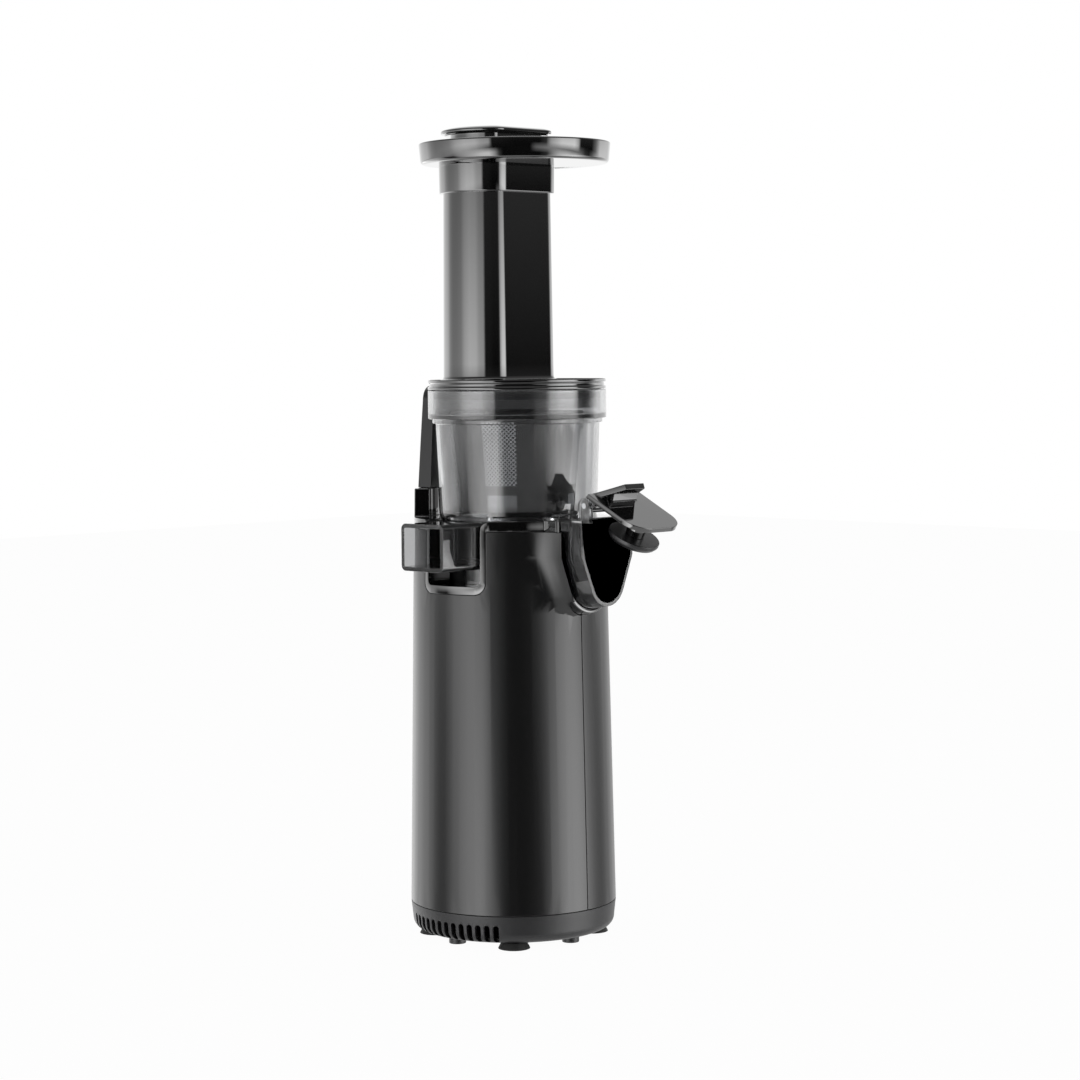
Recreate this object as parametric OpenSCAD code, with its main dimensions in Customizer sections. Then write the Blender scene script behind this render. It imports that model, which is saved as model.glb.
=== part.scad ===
// Slim upright cold press juicer, built as separate pieces.
// +Z is up. The origin is on the housing's axis, on the surface the juicer stands on.
// Front, with the juice spout, is -Y. The pulp duct leaves at -X. The lock arm is at +Y.

/* [Housing] */
// Width of the housing's top round the bowl's foot
shoulder_w = 10; // [9.6:0.1:12]
// How much wider the housing is at its bottom seam than at its top edge
housing_flare = 3.4; // [3:0.1:5]
// Height of the bottom seam above the table
seam_z = 18.6; // [17:0.1:22]
// Height of the housing's top edge above the table
housing_top_z = 223; // [221:0.5:230]
// Wall thickness of the housing shells
shell_wall = 2.6; // [2.2:0.1:3]
// Height of the gloss band at the housing's top
trim_h = 5.5; // [4.5:0.1:7]
// Width of the gloss band beside the two spouts
trim_w = 3; // [2.5:0.1:3.5]
// Gap between the two half shells
seam_gap = 0.2; // [0.1:0.05:0.4]

/* [Base] */
// How far the base's flat underside lies inside the bottom seam
base_inset = 6.8; // [5.8:0.1:8]
// Height of the base's underside above the table
base_z = 4; // [3:0.5:5]
// Rounding of the base's lower edge
base_round_r = 5.8; // [4:0.1:7]
// Wall thickness of the base cap
base_wall = 2.4; // [2:0.1:3]
// Number of air slots on each side
vent_count = 13; // [5:1:14]
// Angle between two air slots
vent_pitch = 5.2; // [5:0.1:5.6]
// Width of one air slot
vent_w = 2.9; // [2:0.1:3.4]
// Height of one air slot
vent_h = 9; // [7:0.5:10]
// Distance of the feet's middles from the edge of the base's underside
foot_inset = 6; // [5:0.5:9]
// Radius of one rubber foot
foot_r = 8.5; // [7:0.5:10]

/* [Bowl] */
// How far the bowl's axis lies in front of the housing's axis
bowl_offset = 6.5; // [6:0.1:7]
// Space between the strainer's middle ring and the outside of the bowl's lower part
sump_w = 6.6; // [6:0.1:8]
// Width of the ledge between the bowl's lower part and its foot
ledge_w = 3.8; // [3.4:0.1:4.4]
// How much wider the bowl is below its collar than at its foot
bowl_flare = 2.6; // [2:0.1:3.2]
// Width of the bowl's collar
collar_w = 3.7; // [3.4:0.1:4]
// Height of the collar's lower edge above the table
collar_z = 275.5; // [273:0.5:278]
// Height of the bowl's rim above the table
rim_z = 290.7; // [289:0.5:293]
// Wall thickness of the bowl
bowl_wall = 2.4; // [2:0.1:2.8]
// Height of the underside of the bowl above the table
sump_z = 182; // [180:0.5:184]

/* [Pulp duct] */
// Outer width of the pulp duct
duct_w = 31.4; // [29:0.2:33]
// Height of the pulp duct's underside above the table
duct_z = 197.5; // [196:0.5:200]
// Outer height of the pulp duct
duct_h = 24.6; // [22:0.2:25]
// Distance of the duct's mouth from the housing's axis
duct_reach = 71; // [66:0.5:76]
// Rounding of the duct's long outer edges
duct_round_r = 3; // [2:0.5:4]
// Wall thickness of both spouts
spout_wall = 2.2; // [2:0.1:2.6]

/* [Juice spout] */
// Outer half width of the juice spout
spout_half_w = 19.25; // [18.5:0.25:19.5]
// Radius of the juice spout's round bottom
spout_round_r = 13; // [12:0.5:14]
// Height of the spout lip's lowest point above the table
spout_lip_z = 178.4; // [178:0.2:180]
// Distance of the spout's mouth from the housing's axis
spout_reach = 71.5; // [70:0.5:73]
// Height where the spout's sides become upright
spout_shoulder_z = 204; // [202:0.5:206]
// Height of the spout's roof above the table
spout_roof_z = 224.5; // [224:0.5:226]
// Slope of the spout's floor
spout_tilt = 9; // [6:0.5:10]

/* [Spout cap] */
// Length of the cap's paddle from its hinge
paddle_l = 38; // [36:0.5:46]
// Width of the cap's paddle
paddle_w = 38; // [36:0.5:39]
// Thickness of the cap's paddle
paddle_t = 2.6; // [2.2:0.1:3]
// Angle of the open cap below level
cap_open_tilt = 27; // [22:1:32]
// Radius of the sealing plug
plug_r = 13.6; // [13:0.1:13.6]
// Thickness of the sealing plug
plug_t = 4; // [3:0.5:5]
// Radius of the hinge pin
pin_r = 1.5; // [1.4:0.1:2]

/* [Lid and hopper] */
// Height of the lid's flange
lid_flange_h = 5.2; // [4.5:0.1:6]
// How far the feed chute's axis lies behind the housing's axis
chute_offset = 7.2; // [6.8:0.1:7.6]
// Outer radius of the feed chute
chute_r = 29.3; // [29:0.1:29.5]
// Distance from the chute's axis to its flat front
chute_flat = 21.6; // [21:0.1:22]
// Radius of the chute's two upright corners
chute_corner_r = 9; // [7:0.5:10]
// Wall thickness of the chute
chute_wall = 2.2; // [2:0.1:2.6]
// Height of the chute's top above the table
chute_top_z = 411; // [380:0.5:420]
// Outer radius of the hopper tray
tray_r = 51.4; // [49:0.1:54]
// Height of the hopper tray
tray_h = 11.2; // [10:0.2:13]
// Wall thickness of the hopper tray
tray_wall = 2.2; // [2:0.1:2.6]
// Height of the tray's collar on the chute
tray_collar_h = 15.2; // [12:0.2:18]

/* [Pusher] */
// Radius of the pusher's flange
pusher_flange_r = 30; // [29:0.1:31]
// Thickness of the pusher's flange
pusher_flange_h = 3.6; // [3:0.1:5]
// Height of the flange's underside above the tray's rim
pusher_rise = 4.7; // [4:0.1:8]
// Radial gap between pusher and chute
pusher_gap = 0.8; // [0.5:0.1:1.5]

/* [Auger and strainer] */
// Radius of the auger's core at its foot
auger_core_r = 18; // [16:0.5:19]
// Depth of the auger's flights
flight_w = 7; // [6:0.5:8]
// Height of the auger's screw
auger_h = 78; // [70:1:80]
// Turns of the auger's screw
auger_turns = 1.25; // [0.75:0.25:1.5]
// Distance from the auger's screw to the strainer's outside at its foot
press_w = 3.5; // [3:0.1:4]
// How much wider the strainer is at its middle ring than at its foot
strainer_swell = 2.5; // [2:0.1:3]
// How much wider the strainer is at its top ring than at its middle ring
strainer_flare = 4.5; // [4:0.1:5]
// Thickness of the steel mesh
mesh_t = 0.6; // [0.4:0.1:0.8]
// Number of mesh windows round the strainer
strainer_windows = 4; // [3:1:6]
// Angle that one mesh window spans
window_angle = 31; // [24:1:40]

/* [Drive] */
// Teeth of the small gears
pinion_teeth = 12; // [11:1:13]
// Teeth of the large gears
wheel_teeth = 48; // [46:1:49]
// Width of the fast gears' teeth
fast_gear_w = 8; // [6:0.5:8.5]
// Width of the slow output gear's teeth
slow_gear_w = 14; // [12:0.5:15]
// Height of the motor's underside above the table
motor_z = 36; // [34:0.5:40]
// Outer radius of the motor
motor_r = 30; // [27:0.5:31]
// Height of the motor's can
motor_h = 68; // [62:0.5:70]
// Radius of the output shaft
shaft_r = 6; // [5:0.5:6.5]
// Width across the flats of the drive hexagon
hex_w = 9; // [8:0.5:10]

/* [Hidden] */

// Overrun of every cut past the face it leaves
over = 1;
// Assembly gap between pieces that lift apart or move past each other
gap = 0.3;
// Radial clearance of a shaft in its bearing
run_gap = 0.05;
// Facets of round solids, and of the parts of a blended form
$fn = 96;

// Radii, each worked out from the one inside it
auger_r = auger_core_r + flight_w;
strainer_foot_r = auger_r + press_w;
strainer_mid_r = strainer_foot_r + strainer_swell;
strainer_top_r = strainer_mid_r + strainer_flare;
sump_r = strainer_mid_r + sump_w;
bowl_foot_r = sump_r + ledge_w;
bowl_top_r = bowl_foot_r + bowl_flare;
collar_r = bowl_top_r + collar_w;
housing_top_r = bowl_foot_r + shoulder_w;
housing_bottom_r = housing_top_r + housing_flare;
base_foot_r = housing_bottom_r - base_inset;
foot_ring_r = base_foot_r - foot_inset;

// Housing places
seat_split_z = housing_top_z - trim_h;
deck_drop = 1;
deck_z = housing_top_z - deck_drop;
deck_t = 3;
spigot_h = 5;
spigot_t = 2;
seat_wall = 2;
sump_gap = 1;
well_r = sump_r + sump_gap;
seat_floor_t = 2.6;
seat_floor_z = sump_z - gap - seat_floor_t;
notch_side_gap = 1.3;
notch_half_w = duct_w / 2 + notch_side_gap;
notch_drop = 8.5;
notch_z = duct_z - notch_drop;
notch_round_r = 3;
notch_sill = 4.5;
mouth_round_r = 5;
boss_r = 4;
base_ring_r = base_foot_r - boss_r;
boss_inset = 7.4;
seat_ring_r = housing_top_r - boss_inset;
boss_h = 12;
screw_r = 1.5;
screw_head_r = 2.8;
screw_head_h = 1.8;

// Snout of the housing round the juice spout
snout_reach = 60;
snout_wall = 1.1;
snout_flare_w = 10.5;
snout_drop = 3;
snout_steps = 8;

// Bayonet arm
arm_root_h = 15;
arm_h = 70;
arm_gap = 0.6;
arm_half_angle = 30;
arm_half_w_top = 20;
arm_round_r = 8;
arm_round_step = 9;
arm_groove_d = 3.8;
arm_groove_drop = 7;
arm_groove_z = rim_z - arm_groove_drop;
arm_thin = 0.3;
arm_foot_gap = 0.1;
root_half_angle = 42;
tab_half_w = 8;
tab_reach = 3.2;
tab_h = 6.4;
magnet_r = 2.4;
magnet_h = 2;

// Derived bowl places
collar_lip_h = 2.4;
collar_lip_w = 1.6;
collar_wall = 2.6;
sump_floor_t = 2.6;
hub_r = 12.6;
hub_bore_r = 9.6;
hub_h = 15;
seal_h = 3.5;
insert_r = 8;
insert_rise = 4;
insert_z = sump_z + insert_rise;
insert_floor_t = 4;
insert_h = 20;
hex_depth = insert_h - insert_floor_t;
hex_gap = 0.25;
bowl_foot_z = deck_z + gap;
bowl_foot_h = 4;

// Spout cap places
hinge_out = 1;
hinge_reach = spout_reach + hinge_out;
hinge_z = 231.2;
ear_t = 3;
ear_r = 4;
knuckle_r = 3.6;
plug_along = 22.9;
plug_drop = 9.8;
plug_stem_r = 5;
thumb_l = 21;
thumb_tip_w = 14;
thumb_t = 3;
thumb_rise = 18;
web_half_w = 9;
web_l = 15;

// Lid places
lid_z = rim_z + gap;
lid_top_z = lid_z + lid_flange_h;
lid_skirt_h = 10;
lid_skirt_gap = 0.9;
lid_skirt_wall = 2;
lid_seal_h = 3;
lid_seal_bulge = 0.5;
lid_lip_h = 1.6;
lid_lip_w = 0.8;
bridge_boss_r = 6;
bridge_w = 7;
bridge_h = 7;
auger_pin_r = 3;
auger_pin_h = 6;
chute_inner_r = chute_r - chute_wall;
chute_inner_flat = chute_flat - chute_wall;

// Tray and pusher places
tray_z = chute_top_z + gap / 2;
tray_top_z = tray_z + tray_h;
tray_collar_wall = 1.5;
tray_round_r = 3;
pusher_r = chute_inner_r - pusher_gap;
pusher_flat = chute_inner_flat - pusher_gap;
pusher_foot_z = lid_top_z + gap;
pusher_cap_z = tray_top_z + pusher_rise;
pusher_foot_h = 12;
pusher_waist = 1.5;

// Gear train
pressure_angle = 25;
addendum_share = 0.9;
dedendum_share = 1.15;
backlash_share = 0.12;
root_ease = 0.05;
layer_gap = 2.5;
case_gap = 1.5;
arbor_r = 2;
tip_room = 0.8;
case_wall = 2.9;
case_flange_w = 3.9;
case_flange_h = 4;
case_floor_t = 3;
case_room = 1.3;
motor_neck_h = 4;
case_z = motor_z + motor_h + motor_neck_h;
layer1_z = case_z + case_floor_t + case_gap;
layer2_z = layer1_z + fast_gear_w + layer_gap;
layer3_z = layer2_z + fast_gear_w + layer_gap;
cover_z = layer3_z + slow_gear_w + case_gap;
// The gears are as large as the housing leaves room for
case_reach = housing_r(cover_z) - shell_wall - case_room - case_flange_w - case_wall - tip_room + bowl_offset;
gear_module = case_reach / ((pinion_teeth + wheel_teeth) / sqrt(3) + wheel_teeth / 2 + addendum_share);
gear_pair = gear_module * (pinion_teeth + wheel_teeth) / 2;
wheel_tip_r = gear_module * (wheel_teeth / 2 + addendum_share);
pinion_root_r = gear_module * (pinion_teeth / 2 - dedendum_share);
axis_o = [0, -bowl_offset];
axis_a = axis_o + gear_pair * [cos(120), sin(120)];
axis_b = axis_o + gear_pair * [cos(60), sin(60)];
case_centre = [0, -bowl_offset + gear_pair / sqrt(3)];
case_inner_r = gear_pair / sqrt(3) + wheel_tip_r + tip_room;
case_r = case_inner_r + case_wall;
cover_t = 4;
damper_h = 4;
damper_r = 6;
post_r = 5.5;
post_inset = 13.6;
post_ring_r = well_r - post_inset;
post_angles = [90, 210, 330];
bush_wall = 2;
bush_h = 14;
cover_boss_h = 12;
shaft_end_gap = 1;
shaft_top_z = insert_z + hex_depth - shaft_end_gap;
motor_shaft_r = 3.5;
pinion_shaft_r = 2;
case_screw_angles = [0, 60, 120, 180, 240, 300];

// Motor
motor_wall = 2;
magnet_t = 4.5;
magnet_half_angle = 62;
rotor_gap = 0.8;
armature_h = 34;
commutator_r = 9;
commutator_h = 9;
brush_w = 5;
end_bell_t = 4;
bearing_r = 8;
bearing_h = 4;
fan_r = 25;
fan_h = 7;
fan_blades = 11;
fan_blade_t = 1.2;
motor_screw_ring_r = 16;
motor_lid_z = motor_z + motor_h;

// Small parts
board_w = 54;
board_h = 62;
board_z = 42;
board_t = 1.6;
board_inset = 7;
board_x = sqrt(pow(housing_r(board_z + board_h) - shell_wall, 2) - pow(board_w / 2, 2)) - board_inset;
guide_w = 3;
switch_z = 72;
switch_w = 15;
switch_h = 21;
switch_depth = 12;
rocker_w = 10;
rocker_h = 15;
rocker_d = 6;
bezel_t = 1.6;
bezel_w = 1.6;
gland_z = 33;
gland_r = 5;
gland_flange_r = 8;

// Remaining places, each worked out from the piece that carries it
base_boss_angles = [70, 110, 250, 290];
seat_boss_angles = [30, 75, 105, 150];
seat_tab_drop = 13.5;
seat_tab_z = seat_split_z - seat_tab_drop;
seat_tab_h = 3;
snout_ease = 1;
snout_back = 34;
stub_z = 0.5;
stub_r = 4.5;
vent_start = 55;
vent_rise = 0.6;
vent_z = base_z + vent_rise;
foot_taper = 2;
foot_stem_r = 5;
foot_cup_r = 6;
foot_cup_h = 1.5;
seal_lip = 0.8;
gate_depth = 10.5;
gate_t = 2;
gate_z = hinge_z - plug_along;
gate_lap = 2.1;
gate_hole_r = plug_r - gate_lap;
plug_hole_x = 27;
pulp_plug_r = 5;
ear_in = 16;
bowl_knee_share = 0.35;
pin_half_l = 18.6;
knuckle_half_l = 15.5;
paddle_rise = 4.6;
paddle_round_r = 12;
web_waist_share = 0.4;
thumb_sink = 1.5;
thumb_base = knuckle_r - thumb_sink;
plug_taper = 1.5;
strainer_z = sump_z + sump_floor_t + gap;
fine_mesh_h = 15.9;
strainer_rise = 3.5;
strainer_skirt_z = duct_z + duct_h;
strainer_mid_z = strainer_skirt_z + fine_mesh_h;
strainer_top_z = collar_z + strainer_rise;
strainer_ring_h = 5;
strainer_wall = 2;
window_turn = 28;
port_wall = 1.4;
mesh_lap = 1;
mesh_z0 = strainer_skirt_z - mesh_lap;
mesh_z1 = strainer_top_z - strainer_ring_h + mesh_lap;
mesh_inset = 0.7;
auger_z = insert_z + insert_h;
auger_core_share = 0.95;
auger_skirt_h = 12;
hub_clear = 8;
flight_t = 3;
tab_gap = 0.2;
lid_seal_drop = 2;
seal_seat_r = collar_r - collar_wall - lid_skirt_gap - lid_skirt_wall / 2;
tray_taper = 1.2;
tray_dish = 1.6;
tray_dish_r = 30;
pusher_lip = 0.7;
cap_dome_h = 0.8;
hex_rise = 2;
hex_z = sump_z + hex_rise;
post_top_z = seat_floor_z - damper_h;
magnet_rise = 24;
magnet_z = motor_z + magnet_rise;
fan_drop = 14;
fan_z = motor_z - fan_drop;
brush_x = 11;
brush_l = 12;
brush_rise = 3;
brush_z = end_bell_t + brush_rise;
board_parts = [[0.1, 0.15, 4, 0.3, 0.25], [0.6, 0.2, 3, 0.2, 0.4], [0.2, 0.6, 2.5, 0.5, 0.25]];
rocker_room = 1.2;
rocker_face = 3.4;
rocker_dip = 1;
rocker_pin_r = 1.2;
rocker_pin_l = 1.5;
switch_y = housing_r(switch_z) - switch_depth + gap;
rocker_sink = 1.5;
rocker_y = switch_y + switch_depth - rocker_sink;
gland_lip = 2;
gland_hole_r = 3.5;
sensor_w = 12;
sensor_t = 2.4;
sensor_h = 5;
sensor_inset = 1.1;
sensor_y = collar_r + arm_groove_d - bowl_offset + sensor_inset + sensor_t / 2;
sensor_z = lid_z - tab_h / 2;
cap_reach = hinge_reach + paddle_l * cos(cap_open_tilt) + (paddle_rise + paddle_t) * sin(cap_open_tilt);
home_x = (duct_reach - housing_bottom_r) / 2;
home_y = (cap_reach - housing_r(gland_z) - gland_lip) / 2;

// Outer radius of the housing at a height
function housing_r(z) =
    housing_bottom_r + (housing_top_r - housing_bottom_r) * (z - seam_z) / (housing_top_z - seam_z);

// Half width of the juice spout's section at a height above its lowest point
function spout_tangent_angle() = let(
    rise = spout_shoulder_z - spout_lip_z - spout_round_r,
    reach = sqrt(pow(spout_half_w, 2) + pow(rise, 2))
) atan2(spout_half_w, rise) + acos(spout_round_r / reach);

// Points on the involute flank of a tooth, from the root to the tip
function flank(teeth, side) = let(
    pitch_r = gear_module * teeth / 2,
    base_r = pitch_r * cos(pressure_angle),
    root_r = pitch_r - gear_module * dedendum_share,
    tip_r = pitch_r + gear_module * addendum_share,
    start_r = max(base_r, root_r + root_ease * gear_module),
    inv_pitch = tan(pressure_angle) - pressure_angle * PI / 180,
    half_tooth = 90 / teeth - backlash_share / 2 * 180 / PI * gear_module / pitch_r
) [for (r = [root_r, start_r, (start_r + tip_r) / 2, tip_r]) let(
    reach_r = max(r, base_r),
    a = acos(base_r / reach_r),
    turn = half_tooth + (inv_pitch - tan(a) + a * PI / 180) * 180 / PI
) [r, side * turn]];

function tooth(teeth) = concat(flank(teeth, -1),
    [for (i = [3:-1:0]) flank(teeth, 1)[i]]);

function gear_points(teeth) = [for (i = [0:teeth - 1]) for (p = tooth(teeth))
    p[0] * [cos(p[1] + i * 360 / teeth), sin(p[1] + i * 360 / teeth)]];

module gear(teeth, w) linear_extrude(w) polygon(gear_points(teeth));

module at(axis, z = 0) translate([axis[0], axis[1], z]) children();

module ring(outer_r, inner_r, h) difference() {
    cylinder(r = outer_r, h = h);
    translate([0, 0, -over]) cylinder(r = inner_r, h = h + 2 * over);
}

// The housing's outer form, shrunk by a wall, between two heights
module housing_form(inset, z0, z1) rotate_extrude() polygon([
    [0, z0], [housing_r(z0) - inset, z0], [housing_r(z1) - inset, z1], [0, z1]]);

// The juice spout's section, grown by an amount, open upwards to a height
module spout_section(grow, top) {
    a = spout_tangent_angle();
    r = spout_round_r + grow;
    w = spout_half_w + grow;
    centre = spout_lip_z + spout_round_r;
    translate([0, centre]) circle(r = r);
    polygon([[-w, spout_shoulder_z], [-r * sin(a), centre + r * cos(a)], [0, centre],
        [r * sin(a), centre + r * cos(a)], [w, spout_shoulder_z], [w, top], [-w, top]]);
}

// The spout's section swept along its sloping floor, from one reach to another
module spout_form(grow, from, to, top) intersection() {
    translate([0, -spout_reach, spout_lip_z]) rotate([-spout_tilt, 0, 0])
        translate([0, spout_reach, -spout_lip_z]) rotate([90, 0, 0])
            translate([0, 0, -over]) linear_extrude(2 * spout_reach) spout_section(grow, 2 * top);
    translate([-2 * spout_half_w, -to, 0]) cube([4 * spout_half_w, to - from, top]);
}

// The notch for the pulp duct, grown by an amount, seen along X
module notch_section(grow) {
    r = notch_round_r + grow;
    w = notch_half_w + grow;
    z0 = notch_z - (grow > 0 ? notch_sill : 0);
    for (side = [-1, 1]) translate([side * (w - r), z0 + r]) circle(r = r);
    translate([-w + r, z0]) square([2 * (w - r), 2 * r]);
    translate([-w, z0 + r]) square([2 * w, housing_top_z - z0]);
}

module notch_form(grow, from, to) translate([-from, -bowl_offset, 0]) rotate([90, 0, -90])
    linear_extrude(to - from) notch_section(grow);

// Moves every piece so that the origin lies under the middle of the whole object
module home() translate([home_x, home_y, 0]) children();

// Snout: rings of points from the spout's edge back to the housing's surface
function snout_arc(i) = let(
    t = spout_tangent_angle(),
    a = t + (360 - 2 * t) * i / snout_steps,
    grow = gap + seat_wall + snout_wall + seam_gap
) [[-sin(a), cos(a)], [-(spout_round_r + grow) * sin(a),
    spout_lip_z + spout_round_r + (spout_round_r + grow) * cos(a)]];
function snout_path() = let(w = spout_half_w + gap + seat_wall + snout_wall + seam_gap) concat(
    [[[-1, 0], [-w, housing_top_z]], [[-1, 0], [-w, spout_shoulder_z]]],
    [for (i = [0:snout_steps]) snout_arc(i)],
    [[[1, 0], [w, spout_shoulder_z]], [[1, 0], [w, housing_top_z]]]);
function housing_front(x, z) = -sqrt(pow(housing_r(z), 2) - x * x);
function snout_point(p, s) = let(
    n = p[0],
    flare = snout_drop + (snout_flare_w - snout_drop) * abs(n[0]),
    edge = [p[1][0], -snout_reach, p[1][1]],
    root_x = p[1][0] + n[0] * flare,
    root_z = p[1][1] + n[1] * flare,
    root = [root_x, housing_front(root_x, root_z) + snout_ease, root_z],
    corner = [edge[0], housing_front(edge[0], edge[2]) - snout_ease, edge[2]]
) s > 1 ? [root_x, -snout_back, root_z]
    : (1 - s) * (1 - s) * edge + 2 * s * (1 - s) * corner + s * s * root;

module snout() {
    path = snout_path();
    rows = [0, 0.2, 0.4, 0.6, 0.8, 1, 2];
    n = len(path);
    m = len(rows);
    points = [for (s = rows) for (p = path) snout_point(p, s)];
    skin = [for (j = [0:m - 2]) for (i = [0:n - 2]) for (half = [0, 1])
        half == 0 ? [j * n + i, j * n + i + 1, (j + 1) * n + i + 1]
        : [j * n + i, (j + 1) * n + i + 1, (j + 1) * n + i]];
    front = [for (i = [n - 1:-1:0]) i];
    rear = [for (i = [0:n - 1]) (m - 1) * n + i];
    roof = concat([for (j = [0:m - 1]) j * n], [for (j = [m - 1:-1:0]) j * n + n - 1]);
    intersection() {
        polyhedron(points, concat(skin, [front, rear, roof]));
        translate([-housing_bottom_r, -2 * housing_bottom_r, 0])
            cube([2 * housing_bottom_r, 2 * housing_bottom_r, seat_split_z - seam_gap]);
    }
}

module shell_boss(reach, angle, z, h) rotate([0, 0, angle]) difference() {
    union() {
        translate([reach, 0, z]) cylinder(r = boss_r, h = h);
        translate([reach, -boss_r / 2, z]) cube([housing_r(z) - reach - shell_wall / 2, boss_r, h]);
    }
    translate([reach, 0, z - over]) cylinder(r = screw_r, h = h + 2 * over);
}

// One half of the housing; side is -1 for the left half
module half_shell(side) difference() {
    union() {
        difference() {
            union() {
                housing_form(0, seam_z + seam_gap, seat_split_z);
                snout();
            }
            housing_form(shell_wall, seam_z - over, seat_split_z + over);
        }
        for (angle = base_boss_angles) shell_boss(base_ring_r, angle, seam_z + seam_gap, boss_h);
        for (angle = seat_boss_angles) shell_boss(seat_ring_r, angle, seat_tab_z, seat_tab_h);
    }
    spout_form(gap + seat_wall + seam_gap, 0, 2 * snout_reach, 2 * housing_top_z);
    notch_form(trim_w, 0, 2 * housing_bottom_r);
    translate([side > 0 ? -2 * housing_bottom_r + seam_gap / 2 : -seam_gap / 2,
        -2 * housing_bottom_r, 0])
        cube([2 * housing_bottom_r, 4 * housing_bottom_r, 2 * housing_top_z]);
    switch_hole();
    at([0, housing_bottom_r + over], gland_z) rotate([90, 0, 0])
        cylinder(r = gland_r + run_gap, h = 3 * shell_wall);
}

module switch_hole() translate([-switch_w / 2 - gap, switch_y, switch_z - switch_h / 2 - gap])
    cube([switch_w + 2 * gap, housing_bottom_r, switch_h + 2 * gap]);

module left_shell() color("#3a3b3e") home() half_shell(-1);

module right_shell() color("#3a3b3e") home() {
    half_shell(1);
    for (side = [-1, 1]) board_guide(side);
}

module board_guide(side) {
    y = side * (board_w / 2 + gap);
    r = housing_r(board_z) - shell_wall / 2;
    difference() {
        translate([board_x - guide_w, side > 0 ? y - guide_w : y - over, board_z])
            cube([sqrt(r * r - y * y) - board_x + guide_w, guide_w + over, board_h]);
        translate([board_x - gap / 2, -board_w / 2 - gap, board_z - over])
            cube([board_t + gap, board_w + 2 * gap, board_h + 2 * over]);
    }
}

module bowl_seat() color("#1b1b1d") home() difference() {
    union() {
        intersection() {
            housing_form(0, notch_z - 2 * notch_sill, housing_top_z + arm_root_h);
            union() {
                difference() {
                    translate([0, 0, seat_split_z + gap / 3])
                        cylinder(r = 2 * housing_bottom_r, h = housing_top_z - seat_split_z - gap / 3);
                    seat_cavity();
                }
                intersection() {
                    notch_form(trim_w, well_r - bowl_offset, 2 * housing_bottom_r);
                    cylinder(r = 3 * housing_bottom_r, h = housing_top_z);
                }
                riser();
            }
        }
        difference() {
            housing_form(shell_wall + gap / 2, seat_split_z - spigot_h, seat_split_z + over);
            seat_cavity();
        }
        intersection() {
            at(axis_o) cylinder(r = snout_reach - bowl_offset, h = housing_top_z);
            spout_form(gap + seat_wall, bowl_offset + well_r - seat_wall, snout_reach, housing_top_z);
        }
        at(axis_o, seat_floor_z) cylinder(r = well_r + seat_wall, h = deck_z - seat_floor_z);
        for (angle = seat_boss_angles) rotate([0, 0, angle])
            translate([seat_ring_r, 0, seat_tab_z + seat_tab_h])
                cylinder(r = boss_r, h = deck_z - seat_tab_z - seat_tab_h);
    }
    at(axis_o, seat_floor_z + seat_floor_t) cylinder(r = well_r, h = housing_top_z);
    at(axis_o, deck_z) cylinder(r = bowl_foot_r + sump_gap, h = housing_top_z);
    at(axis_o, 0) cylinder(r = shaft_r + 3 * gap, h = housing_top_z);
    notch_form(0, 0, 2 * housing_bottom_r);
    spout_form(gap, 0, 2 * snout_reach, 2 * housing_top_z);
    for (side = [-1, 1]) translate([-2 * housing_bottom_r, -bowl_offset + side * notch_half_w, housing_top_z])
        rotate([0, 90, 0]) mouth_round(side);
    for (angle = seat_boss_angles) rotate([0, 0, angle])
        translate([seat_ring_r, 0, 0]) cylinder(r = screw_r, h = deck_z - deck_t / 2);
    for (angle = post_angles) at(post_place(angle)) {
        cylinder(r = screw_r + gap, h = housing_top_z);
        translate([0, 0, seat_floor_z + seat_floor_t - screw_head_h])
            cylinder(r = screw_head_r + gap, h = housing_top_z);
    }
}

// The space under the deck, round the well
module seat_cavity() difference() {
    housing_form(shell_wall + gap / 2 + spigot_t, 0, deck_z - deck_t);
    at(axis_o) cylinder(r = well_r + seat_wall, h = 2 * housing_top_z);
}

// Rounds the top corner of the duct's notch
module mouth_round(side) difference() {
    translate([-over, side > 0 ? -over : -mouth_round_r, 0])
        cube([mouth_round_r + over, mouth_round_r + over, housing_bottom_r * 2]);
    translate([mouth_round_r, side * mouth_round_r, -over])
        cylinder(r = mouth_round_r, h = housing_bottom_r * 2 + 2 * over);
}

// The gloss root that the lock arm stands on
module riser() difference() {
    wedge(root_half_angle, housing_top_z - over, arm_root_h + 2 * over);
    at(axis_o) cylinder(r = collar_r + arm_gap, h = 2 * housing_top_z);
    translate([0, sensor_y, housing_top_z - deck_t]) cylinder(r = screw_r, h = 2 * arm_root_h);
}

module wedge(half_angle, z, h) translate([0, 0, z]) linear_extrude(h) polygon([
    [0, 0], 2 * housing_bottom_r * [sin(half_angle), cos(half_angle)],
    [0, 4 * housing_bottom_r], 2 * housing_bottom_r * [-sin(half_angle), cos(half_angle)]]);

module lock_arm() color("#3a3b3e") home() difference() {
    z0 = housing_top_z + arm_root_h + arm_foot_gap;
    intersection() {
        rotate_extrude() polygon([[0, z0], [housing_top_r - arm_thin, z0],
            [housing_top_r - arm_thin * arm_h / arm_root_h, housing_top_z + arm_h],
            [0, housing_top_z + arm_h]]);
        translate([0, 2 * housing_top_r, 0]) rotate([90, 0, 0]) linear_extrude(2 * housing_top_r)
            arm_outline(z0);
    }
    at(axis_o) cylinder(r = collar_r + arm_gap, h = 2 * housing_top_z);
    at(axis_o, arm_groove_z) cylinder(r = collar_r + arm_groove_d, h = housing_top_z);
    translate([0, sensor_y, sensor_z])
        cube([sensor_w + 2 * gap, sensor_t + 2 * gap, sensor_h + 2 * gap], center = true);
    translate([0, sensor_y, z0 - over]) cylinder(r = screw_r, h = sensor_z - z0);
}

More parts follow.
